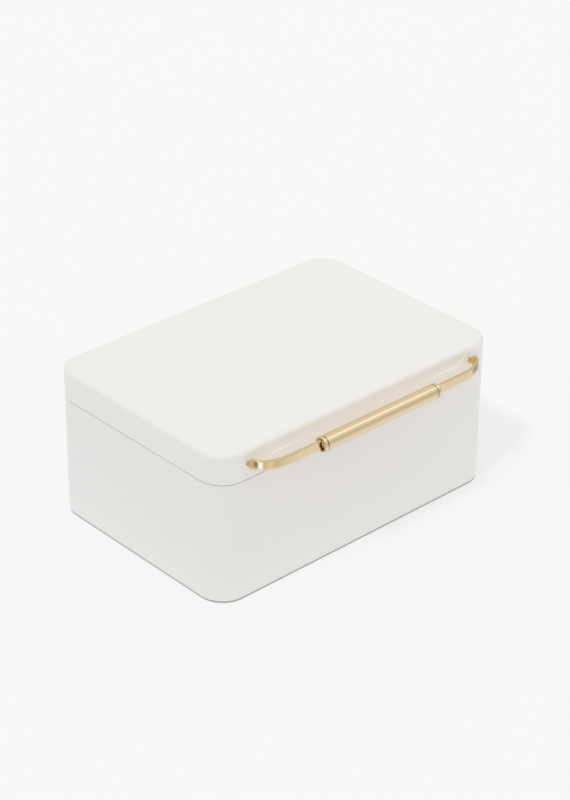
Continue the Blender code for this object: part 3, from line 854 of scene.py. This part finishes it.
def nut_pockets():
    """The bore for each stud through the lid's front wall, with a counterbore for its nut."""
    pockets = []
    for _, _, low, high in sided("handle_nut"):
        centre = (low + high) / 2
        wide = (high.x - low.x) / 2 + FIT
        clear = STUD_RADIUS + FIT
        step = low.y - FIT - centre.y
        start = FRONT - OVERCUT - centre.y
        end = FRONT + WALL + OVERCUT - centre.y
        profile = [(clear, start), (clear, step), (wide, step), (wide, end)]
        pockets.append(turned(profile, centre, "Y", 40))
    return pockets


def make_base_shell(look):
    """The walls, open above and below, with a rebate for the bottom panel."""
    top = BASE_HIGH.z + RIM_RISE
    rings = fillet_rings(BASE_EDGE, BASE_LOW.z, 5, -1)[::-1]
    rings += fillet_rings(RIM_EDGE, top, 4, 1)
    inner = (
        (WALL - RIM_EDGE, top),
        (WALL, top - RIM_EDGE),
        (WALL, FLOOR),
        (REBATE, FLOOR),
        (REBATE, BASE_LOW.z),
    )
    rings += [chest_ring(inset, z) for inset, z in inner]
    shell = link("base_shell_lacquered", lofted(rings, closed=True))
    mortises, holes = rim_cutters("base")
    combined(shell, gathered(mortises))
    combined(shell, gathered(holes))
    finished(shell, "base", look["lacquer"], "lacquer", ["base_shell"])


def make_lid_shell(look):
    """A tray turned over: walls and a top with a rounded upper edge."""
    foot = LID_LOW.z - RIM_RISE
    rings = [
        chest_ring(WALL, CEILING),
        chest_ring(WALL, foot + RIM_EDGE),
        chest_ring(WALL - RIM_EDGE, foot),
    ]
    rings += fillet_rings(RIM_EDGE, foot, 4, -1)[::-1]
    rings += fillet_rings(TOP_FILLET, LID_HIGH.z, 14, 1)
    rings.append(chest_ring(TOP_FILLET + 0.5 * MM, LID_HIGH.z))
    shell = link("lid_shell_lacquered", lofted(rings))
    mortises, holes = rim_cutters("lid")
    combined(shell, gathered(mortises))
    combined(shell, gathered(holes + nut_pockets()))
    finished(shell, "lid", look["lid_lacquer"], "lacquer", ["lid_shell"])


def make_base_felt(look):
    low, high = span("base_felt")
    inset = HALF_X - high.x
    rings = [
        chest_ring(inset + FELT_EDGE, low.z),
        chest_ring(inset, low.z + FELT_EDGE),
        chest_ring(inset, high.z - FELT_EDGE),
        chest_ring(inset + FELT_EDGE, high.z),
    ]
    piece("base_felt_sheet", lofted(rings), "base", look["felt"], "felt", ["base_felt"])


# Linings and dividers


def make_wall_lining(look):
    """A band inside the walls. Its round upper edge stands proud of them and locates the lid."""
    _, high = span("wall_lining")
    outside = HALF_X - high.x
    inside = outside + LINING
    half = LINING / 2
    below = inside + 0.1 * MM
    rings = [chest_ring(outside, FLOOR)]
    for across, up in arc((0.0, high.z - half), half, 180, 0, 12):
        rings.append(chest_ring(outside + half + across, up))
    seam = chest_ring(inside, high.z - LINING_SEAM)
    rings += [seam, chest_ring(below, high.z - 4.0 * MM), chest_ring(below, FLOOR)]
    band = lofted(rings, closed=True)
    piece("wall_lining_suede", band, "base", look["suede"], "suede", ["wall_lining"])
    inward = away_from(Vector(), HALF_X - CORNER, HALF_Y - CORNER, -1)
    stitch_row("wall_lining_stitches", seam, inward, "base", look)


def cross_lines():
    """Where the middles of the two cross dividers lie along X."""
    return [low.x + DIVIDER / 2 for _, _, low, _ in sided("divider_cross")]


def cushion_point(x, y, high, lines):
    """Moves a point of the flat sheet inside the rounded corners, and lifts it to its height."""
    corner = CORNER - (HALF_X - high.x)
    core_x = max(abs(x) - (high.x - corner), 0.0)
    core_y = max(abs(y) - (high.y - corner), 0.0)
    reach = math.hypot(core_x, core_y)
    if reach > corner:
        x = math.copysign(high.x - corner + core_x * corner / reach, x)
        y = math.copysign(high.y - corner + core_y * corner / reach, y)
    gap = min(high.x - abs(x), high.y - abs(y), max(corner - reach, 0.0) if reach else 1.0)
    seam = min(abs(y), *(abs(x - line) for line in lines))
    plump = 1.0 - math.exp(-max(seam - 1.6 * MM, 0.0) / (6.0 * MM))
    brink = 1.0 - math.exp(-gap / (3.5 * MM))
    pucker = noise.noise(Vector((x * 90, y * 90, 3.0))) * (1.0 - plump) * plump * 0.9 * MM
    return x, y, high.z - 1.2 * MM * (1.0 - brink) + 1.9 * MM * plump * brink + pucker


def make_floor_cushion(look):
    """One padded sheet, pressed flat along the dividers and plump in each of the six cells."""
    low, high = span("floor_pad")
    lines = cross_lines()
    columns, rows = 150, 100
    shape = bmesh.new()
    grid = []
    for j in range(rows + 1):
        y = low.y + (high.y - low.y) * j / rows
        row = []
        for i in range(columns + 1):
            x = low.x + (high.x - low.x) * i / columns
            row.append(shape.verts.new(cushion_point(x, y, high, lines)))
        grid.append(row)
    for near, far in zip(grid, grid[1:]):
        for i in range(columns):
            shape.faces.new((near[i], near[i + 1], far[i + 1], far[i]))
    extrude_down(shape, low.z)
    bmesh.ops.remove_doubles(shape, verts=shape.verts, dist=0.02 * MM)
    bmesh.ops.recalc_face_normals(shape, faces=shape.faces)
    dressing = ("base", look["velvet"], "suede", ["floor_pad"])
    piece("floor_cushion", shape, *dressing, sharp=50, weighted=False)


def extrude_down(shape, z):
    """Closes a sheet with a wall down to height z and a flat underside."""
    edges = [edge for edge in shape.edges if edge.is_boundary]
    made = bmesh.ops.extrude_edge_only(shape, edges=edges)["geom"]
    for item in made:
        if isinstance(item, bmesh.types.BMVert):
            item.co.z = z
    rim = [item for item in made if isinstance(item, bmesh.types.BMEdge)]
    bmesh.ops.contextual_create(shape, geom=rim)


def make_dividers(look):
    """Suede-wrapped boards with rounded edges, halved over each other."""
    low, high = span("divider_long")
    slot = DIVIDER / 2 + FIT
    middle = (low.z + high.z) / 2
    outline = [(low.x, low.z), (high.x, low.z), (high.x, high.z)]
    for line in sorted(cross_lines(), reverse=True):
        outline.append((line + slot, high.z))
        outline.append((line + slot, middle - FIT / 2))
        outline.append((line - slot, middle - FIT / 2))
        outline.append((line - slot, high.z))
    outline.append((low.x, high.z))
    shape = softened(extruded(outline, "Y", low.y, high.y), DIVIDER_EDGE)
    piece("divider_long_wrapped", shape, "base", look["suede"], "suede", ["divider_long"])
    for node, _, low, high in sided("divider_cross"):
        outline = [
            (low.y, low.z),
            (-slot, low.z),
            (-slot, middle + FIT / 2),
            (slot, middle + FIT / 2),
            (slot, low.z),
            (high.y, low.z),
            (high.y, high.z),
            (low.y, high.z),
        ]
        shape = softened(extruded(outline, "X", low.x, high.x), DIVIDER_EDGE)
        piece(f"{node}_wrapped", shape, "base", look["suede"], "suede", [node])


def make_runners(look):
    """Rails with cut corners and a rounded upper edge that the tray glides on."""
    for node, side, low, high in sided("tray_runner"):
        inner, outer = (low.x, high.x) if side > 0 else (high.x, low.x)
        cut = inner + side * RUNNER_END
        outline = [(inner, low.y + RUNNER_END), (cut, low.y), (outer, low.y)]
        outline += [(outer, high.y), (cut, high.y), (inner, high.y - RUNNER_END)]
        shape = softened(extruded(outline, "Z", low.z, high.z), RUNNER_EDGE)
        piece(f"{node}_rail", shape, "base", look["lacquer"], "lacquer", [node])


# Tray


def tray_ring(inset, z):
    """The tray's outline drawn in by inset."""
    low, high = span("tray_body")
    half_x = (high.x - low.x) / 2 - inset
    half_y = (high.y - low.y) / 2 - inset
    return rounded_ring(half_x, half_y, TRAY_CORNER - inset, z, 14, level_middle(low, high))


def make_tray_body(look):
    low, high = span("tray_body")
    foot = 0.9 * MM
    half = TRAY_WALL / 2
    cove = 0.8 * MM
    section = arc((foot, low.z + foot), foot, 270, 180, 4)
    section += arc((half, high.z - half), half, 180, 0, 12)
    section += arc((TRAY_WALL + cove, low.z + TRAY_WALL + cove), cove, 180, 270, 4)
    shape = lofted([tray_ring(across, up) for across, up in section])
    piece("tray_body_wrapped", shape, "tray", look["suede"], "suede", ["tray_body"])

    core = (high - low) / 2 - Vector((1, 1, 1)) * TRAY_SEAM_CORNER
    outward = away_from((low + high) / 2, core.x, core.y)
    stitch_row("tray_rim_stitches", tray_ring(0.0, high.z - TRAY_SEAM), outward, "tray", look)

    for node, _, low, high in sided("tray_divider"):
        shape = softened(box(low, high), 1.0 * MM, 4)
        piece(f"{node}_wrapped", shape, "tray", look["suede"], "suede", [node])


def make_tray_cushions(look):
    """A thin simulated cushion in the middle section and one in the right section."""
    low, high = span("tray_body")
    floor = low.z + TRAY_WALL
    wall = TRAY_WALL + FIT
    (_, _, _, left_end), (_, _, right_start, right_end) = sided("tray_divider")
    sections = (
        ("middle", left_end.x + FIT, right_start.x - FIT),
        ("right", right_end.x + FIT, high.x - wall),
    )
    for name, start, end in sections:
        floor_low = Vector((start, low.y + wall, floor + 0.1 * MM))
        floor_high = Vector((end, high.y - wall, floor + 6.0 * MM))
        centre = ((start + end) / 2, (floor_low.y + floor_high.y) / 2)
        half_x = (end - start) / 2 - 1.0 * MM
        half_y = (floor_high.y - floor_low.y) / 2 - 1.0 * MM
        rings = []
        for inset, rise in ((1.2, 0.0), (0.3, 0.6), (0.0, 1.4), (0.3, 2.2), (1.2, 2.8)):
            sizes = (half_x - inset * MM, half_y - inset * MM, 5.0 * MM - inset * MM)
            rings.append(rounded_ring(*sizes, floor_low.z + rise * MM, 6, centre))
        pad = inflated(f"tray_cushion_{name}", lofted(rings), 1.3 * MM, 3.0, 1.6 * MM)
        kept_inside(pad, floor_low, floor_high)
        finished(pad, "tray", look["velvet"], "suede", sharp=80, weighted=False)


def make_ring_rolls(look):
    """Padded rolls. One of each length is simulated, and the others are copies."""
    simulated = {}
    for number in range(1, 6):
        node = f"ring_roll_{number}"
        low, high = span(node)
        key = round((high.x - low.x) / MM, 2)
        if key not in simulated:
            simulated[key] = roll_mesh(f"roll_{len(simulated)}", high - low)
        obj = bpy.data.objects.new(f"{node}_padded", simulated[key].copy())
        bpy.context.scene.collection.objects.link(obj)
        obj.data.transform(Matrix.Translation(low))
        kept_inside(obj, low, high)
        finished(obj, "tray", look["velvet"], "suede", [node], sharp=80, weighted=False)


def roll_mesh(name, size):
    """The mesh of one simulated roll whose lowest corner is at the origin."""
    play = 0.25 * MM
    radius = size.y / 2 - play
    crown = size.z - radius - play
    outline = [(size.y - play - 0.4 * MM, play), (size.y - play, 1.5 * MM)]
    outline += arc((size.y / 2, crown), radius, 0, 180, 16)
    outline += [(play, 1.5 * MM), (play + 0.4 * MM, play)]
    obj = inflated(name, extruded(outline, "X", play, size.x - play), 1.0 * MM, 5.0, 0.6 * MM)
    mesh = obj.data
    bpy.data.objects.remove(obj)
    return mesh


def make_ribbon_tab(look):
    """A folded ribbon with a soft loop at its top."""
    low, high = span("tray_pull_tab")
    thick = 0.8 * MM
    half = (high.y - low.y) / 2
    middle = (low.y + high.y) / 2
    crown = high.z - half
    outline = [(middle + half, low.z)]
    outline += arc((middle, crown), half, 0, 180, 20)
    outline += [(middle - half, low.z), (middle - half + thick, low.z)]
    outline += arc((middle, crown), half - thick, 180, 0, 20)
    outline.append((middle + half - thick, low.z))
    shape = softened(extruded(outline, "X", low.x, high.x), 0.2 * MM, 2)
    piece("tray_pull_ribbon", shape, "tray", look["ribbon"], "ribbon", ["tray_pull_tab"])


# Lid lining and mirror


def swell(share):
    """How far the padded frame is raised, from 0 at its edges to 1 in its middle."""
    return math.sin(math.pi * share) ** 0.6


def make_lid_lining(look):
    """A suede board whose face swells into a padded frame round the mirror."""
    low, high = span("lid_lining")
    glass_low, glass_high = span("lid_mirror")
    inset = HALF_X - high.x
    edge = 0.8 * MM
    face = low.z + 0.4 * MM
    outer = chest_ring(inset, 0.0)
    recess = rounded_ring(glass_high.x + FIT, glass_high.y + FIT, MIRROR_CORNER + FIT, 0.0)
    rings = [chest_ring(inset + edge, high.z), chest_ring(inset, high.z - edge)]
    steps = 14
    for step in range(steps + 1):
        raised = swell(step / steps)
        ring = [a.lerp(b, step / steps) for a, b in zip(outer, recess)]
        for point in ring:
            wrinkle = 0.12 * MM * noise.noise(Vector((point.x * 60, point.y * 60, 7.0))) * raised
            point.z = face - FRAME_CROWN * raised + wrinkle
        rings.append(ring)
    ledge = glass_high.z + FIT
    rings.append([Vector((p.x, p.y, ledge)) for p in recess])
    dressing = ("lid", look["suede"], "suede", ["lid_lining"])
    piece("lid_lining_padded", lofted(rings), *dressing, sharp=60, weighted=False)

    seam = [a.lerp(b, FRAME_SEAM) for a, b in zip(outer, recess)]
    for point in seam:
        point.z = face - FRAME_CROWN * swell(FRAME_SEAM)
    stitch_row("lid_lining_stitches", seam, downward, "lid", look)


def make_mirror_glass(look):
    """A plate with a wide shallow bevel round its face."""
    low, high = span("lid_mirror")
    rings = [
        rounded_ring(high.x, high.y, MIRROR_CORNER, high.z, 8),
        rounded_ring(high.x, high.y, MIRROR_CORNER, low.z + 1.0 * MM, 8),
        rounded_ring(high.x - MIRROR_BEVEL, high.y - MIRROR_BEVEL, MIRROR_CORNER / 2, low.z, 8),
    ]
    dressing = ("lid", look["mirror"], "mirror", ["lid_mirror"])
    piece("lid_mirror_glass", lofted(rings), *dressing, sharp=2, weighted=False)


# Hinges and magnets


def make_leaf(name, body, look):
    """A leaf with its knuckles, bored for the pin and countersunk for the screws."""
    node = f"{name}_{body}_leaf"
    low, high = span(f"{name}_pin")
    axis = (low + high) / 2
    facing, surface = RIMS[body]
    bottom, top = sorted((surface, surface + facing * LEAF))
    plate_low = (axis.x - LEAF_HALF, BACK - LEAF_DEPTH, bottom)
    plate_high = (axis.x + LEAF_HALF, BACK - 0.1 * MM, top)
    leaf = link(f"{node}_brass", softened(box(plate_low, plate_high), LEAF_EDGE, 2))
    if body == "base":
        outer_start = KNUCKLE_SPLIT + KNUCKLE_GAP
        knuckles = [(-LEAF_HALF, -outer_start), (outer_start, LEAF_HALF)]
    else:
        knuckles = [(KNUCKLE_GAP - KNUCKLE_SPLIT, KNUCKLE_SPLIT - KNUCKLE_GAP)]
    for start, end in knuckles:
        tab_low = (axis.x + start + 0.3 * MM, BACK - 2.0 * MM, bottom + 0.2 * MM)
        tab_high = (axis.x + end - 0.3 * MM, axis.y - 1.2 * MM, top - 0.2 * MM)
        combined(leaf, box(tab_low, tab_high), "UNION")
        knuckle = turned(drum(KNUCKLE, start, end, KNUCKLE_EDGE), axis, "X", 64)
        combined(leaf, knuckle, "UNION")
    reach = LEAF_HALF + OVERCUT
    combined(leaf, turned([(BORE_RADIUS, -reach), (BORE_RADIUS, reach)], axis, "X", 48))
    centres = [centre for _, centre in screws(body) if abs(centre.x - axis.x) < LEAF_HALF]
    combined(leaf, gathered(turned(screw_profile(body, PLAY), centre, "Z", 40) for centre in centres))
    finished(leaf, body, look["fitting"], "fitting_brass", [node])


def make_pin(name, look):
    """A pin with a low dome on each end."""
    node = f"{name}_pin"
    low, high = span(node)
    cap = (high.x - low.x) / 2
    neck = cap - PIN_HEAD
    head = (high.z - low.z) / 2
    dome = [(0.35 * head, cap), (0.75 * head, cap - 0.12 * MM), (head, cap - 0.4 * MM)]
    profile = [(radius, -x) for radius, x in dome]
    profile += [(head, -neck), (PIN_RADIUS, -neck), (PIN_RADIUS, neck), (head, neck)]
    profile += dome[::-1]
    shape = turned(profile, (low + high) / 2, "X", 48)
    piece(f"{node}_brass", shape, "base", look["fitting"], "fitting_brass", [node])


def make_screws(body, look):
    """Countersunk screws. Their slots stand at different angles, as in driven screws."""
    facing, surface = RIMS[body]
    bottom, top = sorted((surface - facing * OVERCUT, surface + facing * 0.45 * MM))
    reach = Vector((2.5, 0.25, 0.0)) * MM
    for node, centre in screws(body):
        screw = link(f"{node}_slotted", turned(screw_profile(body, 0.0), centre, "Z", 40))
        slot_low, slot_high = centre - reach, centre + reach
        slot_low.z, slot_high.z = bottom, top
        slot = box(slot_low, slot_high)
        turn = Matrix.Rotation(math.radians(25 + 40 * (len(node) % 3)), 4, "Z")
        about = Matrix.Translation(centre) @ turn @ Matrix.Translation(-centre)
        bmesh.ops.transform(slot, matrix=about, verts=slot.verts)
        combined(screw, slot)
        finished(screw, body, look["fitting"], "fitting_brass", [node])


def make_hinges(look):
    for name in HINGES:
        for body in RIMS:
            make_leaf(name, body, look)
        make_pin(name, look)
    for body in RIMS:
        make_screws(body, look)


def make_magnets(look):
    for body in RIMS:
        for node, _, low, high in sided(f"magnet_{body}"):
            radius = (high.x - low.x) / 2
            half = (high.z - low.z) / 2
            disc = turned(drum(radius, -half, half, MAGNET_EDGE), (low + high) / 2, "Z", 48)
            piece(f"{node}_disc", disc, body, look["steel"], "steel", [node])


# Pull


def strip_section():
    """The strip's cross-section as (outward, up) pairs. Its lower outer edge is rounded widest."""
    corners = (
        (1, 1, 0, STRIP_TOP_EDGE, STRIP_TOP_EDGE),
        (-1, 1, 90, STRIP_EDGE, STRIP_EDGE),
        (-1, -1, 180, STRIP_EDGE, STRIP_EDGE),
        (1, -1, 270, STRIP_FOOT_ACROSS, STRIP_FOOT_UP),
    )
    points = []
    for sign_t, sign_h, start, across, up in corners:
        middle_t = sign_t * (STRIP_THICKNESS / 2 - across)
        middle_h = sign_h * (STRIP_HEIGHT / 2 - up)
        for x, y in arc((0.0, 0.0), 1.0, start, start + 90, 8):
            points.append((middle_t + across * x, middle_h + up * y))
    return points


def strip_rings(centre, half):
    """Rings from the slanted left end, through the elliptical bend, to the start of the bar."""
    end = []
    for offset, up in strip_section():
        gap = FIT + STRIP_SLANT * (up + STRIP_HEIGHT / 2) / STRIP_HEIGHT
        end.append(Vector((-half - offset, FRONT - gap, centre.z + up)))
    rings = [end]
    for step in range(BEND_STEPS + 1):
        angle = math.radians(90 * step / BEND_STEPS)
        x = BEND_LENGTH - half - BEND_LENGTH * math.cos(angle)
        y = centre.y + BEND_DEPTH - BEND_DEPTH * math.sin(angle)
        slope = (-math.cos(angle) / BEND_LENGTH, -math.sin(angle) / BEND_DEPTH, 0.0)
        outward = Vector(slope).normalized()
        ring = []
        for offset, up in strip_section():
            ring.append(Vector((x, y, centre.z + up)) + outward * offset)
        rings.append(ring)
    rings.append([point + Vector((1.0 * MM, 0.0, 0.0)) for point in rings[-1]])
    return rings


def make_strip(look, centre, half):
    rings = strip_rings(centre, half)
    rings += [[Vector((-p.x, p.y, p.z)) for p in ring] for ring in reversed(rings)]
    shape = lofted(rings)
    bmesh.ops.remove_doubles(shape, verts=shape.verts, dist=0.005 * MM)
    piece("pull_strip", shape, "lid", look["polished"], "polished_brass", ["handle_strip"])


def make_sleeve(look, centre, radius, half):
    soft = SLEEVE_EDGE
    tube = [(SLEEVE_BORE, -half)]
    tube += [(r, x) for x, r in arc((soft - half, radius - soft), soft, 180, 90, 6)]
    tube += [(r, x) for x, r in arc((half - soft, radius - soft), soft, 90, 0, 6)]
    tube += [(SLEEVE_BORE, half)]
    shape = turned(tube, centre, "X", 96, closed=True)
    piece("pull_sleeve", shape, "lid", look["satin"], "satin_brass", ["handle_sleeve"])


def make_end_rings(look, centre, radius):
    """Short rings outside the sleeve, with a groove before them and a lip round the strip."""
    for (node, side, low, high), (name, _) in zip(sided("handle_ring"), SIDES):
        near, far = sorted((abs(low.x), abs(high.x)))
        ring = [
            (SLEEVE_BORE, near),
            (radius - RING_GROOVE, near),
            (radius, near + RING_GROOVE),
        ]
        ring += [(r, x) for x, r in arc((far - RING_EDGE, radius - RING_EDGE), RING_EDGE, 90, 0, 6)]
        ring += [
            (RING_LIP + 0.1 * MM, far),
            (RING_LIP, far - 0.1 * MM),
            (RING_LIP, far - RING_LIP_DEPTH),
            (SLEEVE_BORE, far - RING_LIP_DEPTH),
        ]
        shape = turned([(r, side * x) for r, x in ring], centre, "X", 96, closed=True)
        piece(f"pull_ring_{name}", shape, "lid", look["satin"], "polished_brass", [node])


def make_studs(look, centre, half):
    """Waisted studs from the strip's ends through the lid's front wall."""
    profile = [
        (STUD_RADIUS, -STUD_ROOT),
        (STUD_RADIUS, -2.0 * MM),
        (STUD_NECK, -1.7 * MM),
        (STUD_NECK, -0.35 * MM),
        (STUD_RADIUS, -0.05 * MM),
        (STUD_RADIUS, WALL - 0.6 * MM),
    ]
    for name, side in SIDES:
        place = Vector((side * half, FRONT, centre.z - STUD_DROP))
        shape = turned(profile, place, "Y", 32)
        piece(f"pull_stud_{name}", shape, "lid", look["fitting"], "fitting_brass")


def make_nuts(look):
    """Round nuts with a slot for a driver."""
    for node, _, low, high in sided("handle_nut"):
        middle = (low + high) / 2
        outer = (high.x - low.x) / 2
        depth = (high.y - low.y) / 2
        profile = [
            (STUD_RADIUS + PLAY, -depth),
            (outer, -depth),
            (outer, depth - NUT_CHAMFER),
            (outer - NUT_CHAMFER, depth),
            (STUD_RADIUS + PLAY, depth),
        ]
        nut = link(f"{node}_slotted", turned(profile, middle, "Y", 48, closed=True))
        slot_low = (middle.x - 3.0 * MM, high.y - 0.6 * MM, middle.z - 0.35 * MM)
        slot_high = (middle.x + 3.0 * MM, high.y + OVERCUT, middle.z + 0.35 * MM)
        combined(nut, box(slot_low, slot_high))
        finished(nut, "lid", look["fitting"], "fitting_brass", [node])


def make_pull(look):
    low, high = span("handle_sleeve")
    centre = (low + high) / 2
    radius = (high.z - low.z) / 2
    half = span("handle_strip")[1].x - STRIP_THICKNESS / 2
    make_strip(look, centre, half)
    make_sleeve(look, centre, radius, (high.x - low.x) / 2)
    make_end_rings(look, centre, radius)
    make_studs(look, centre, half)
    make_nuts(look)


def dress_cad_nodes(look):
    """Materials for the CAD nodes that stay: they are flat-sided, or hidden inside the pull."""
    dressing = {"bottom_panel": "board", "handle_bush_left": "satin", "handle_bush_right": "satin"}
    for node, name in dressing.items():
        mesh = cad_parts[node].data
        mesh.materials.clear()
        mesh.materials.append(look[name])


# Studio


def make_camera():
    azimuth, elevation = math.radians(CAMERA_AZIMUTH), math.radians(CAMERA_ELEVATION)
    level = Vector((math.cos(azimuth), math.sin(azimuth), 0.0))
    flat = Vector((math.sin(azimuth), -math.cos(azimuth), 0.0))
    back = flat * math.cos(elevation) + Vector((0.0, 0.0, math.sin(elevation)))
    upright = back.cross(level)
    roll = math.radians(CAMERA_ROLL)
    right = level * math.cos(roll) + upright * math.sin(roll)
    up = upright * math.cos(roll) - level * math.sin(roll)
    data = bpy.data.cameras.new("camera")
    data.lens = CAMERA_LENS
    data.clip_start = 0.05
    data.clip_end = 50.0
    camera = bpy.data.objects.new("camera", data)
    axes = Matrix((right, up, back)).transposed().to_4x4()
    camera.matrix_world = Matrix.Translation(AIM + back * CAMERA_DISTANCE) @ axes
    bpy.context.scene.collection.objects.link(camera)
    bpy.context.scene.camera = camera


def make_floor():
    """Pale paper that glows a little, so that the chest shades it only softly. Its glow is dimmed under
    the chest as painted shade.
    """
    shape = bmesh.new()
    bmesh.ops.create_grid(shape, x_segments=2, y_segments=2, size=FLOOR_SIZE)
    floor = link("floor", shape)
    look = Look("floor_paper", Roughness=0.9, Specular_IOR_Level=0.0)
    tint = look.between(look.noise(900.0, 2.0), (0.098, 0.098, 0.097), (0.102, 0.101, 0.101))
    x, y, _ = look.split(look.place)
    squares = []
    for place, half in ((x, HALF_X), (y, HALF_Y)):
        past = look.beyond(look.maths("ABSOLUTE", place), half - CORNER)
        squares.append(look.maths("POWER", past, 2.0))
    outside = look.maths("SUBTRACT", look.maths("SQRT", look.maths("ADD", *squares)), CORNER)
    # Painted shade under the chest: the glow is dimmed inside its outline.
    lit = look.ranged(outside, -0.8 * MM, -0.1 * MM)
    share = look.maths("ADD", look.times(lit, 1.0 - UNDER_GLOW), UNDER_GLOW)
    glow = look.times(share, FLOOR_GLOW)
    look.feed(Base_Color=tint, Emission_Color=(1.0, 0.995, 0.985), Emission_Strength=glow)
    floor.data.materials.append(look.material)
    return floor


def make_sun(name, power):
    data = bpy.data.lights.new(name, "SUN")
    data.energy = power
    data.angle = math.radians(SUN_SPREAD)
    sun = bpy.data.objects.new(name, data)
    sun.rotation_euler = LIGHT_TRAVEL.to_track_quat("-Z", "Y").to_euler()
    bpy.context.scene.collection.objects.link(sun)
    return sun


def make_lights(floor):
    """A weak sun for everything, and a strong one that lights the floor only."""
    make_sun("key", KEY_POWER)
    shade = make_sun("floor_key", FLOOR_KEY_POWER)
    receivers = bpy.data.collections.new("floor_key_receivers")
    receivers.objects.link(floor)
    shade.light_linking.receiver_collection = receivers


def make_world():
    """A room that is brighter overhead than at the horizon, and that the camera sees as paper."""
    world = bpy.data.worlds.new("studio")
    world.use_nodes = True
    nodes = Nodes(world.node_tree)
    up = nodes.split(nodes.add("ShaderNodeTexCoord").outputs["Generated"])[2]
    room = nodes.mixed(up, HORIZON, ZENITH)
    seen = nodes.add("ShaderNodeLightPath").outputs["Is Camera Ray"]
    colour = nodes.mixed(seen, room, BACKDROP)
    nodes.give(world.node_tree.nodes["Background"].inputs["Color"], colour)
    bpy.context.scene.world = world
    bpy.context.scene.view_settings.view_transform = "Standard"


looks = make_looks()
make_base_shell(looks)
make_lid_shell(looks)
make_base_felt(looks)
make_wall_lining(looks)
make_floor_cushion(looks)
make_dividers(looks)
make_runners(looks)
make_tray_body(looks)
make_tray_cushions(looks)
make_ring_rolls(looks)
make_ribbon_tab(looks)
make_lid_lining(looks)
make_mirror_glass(looks)
make_hinges(looks)
make_magnets(looks)
make_pull(looks)
dress_cad_nodes(looks)
make_lights(make_floor())
make_world()
make_camera()
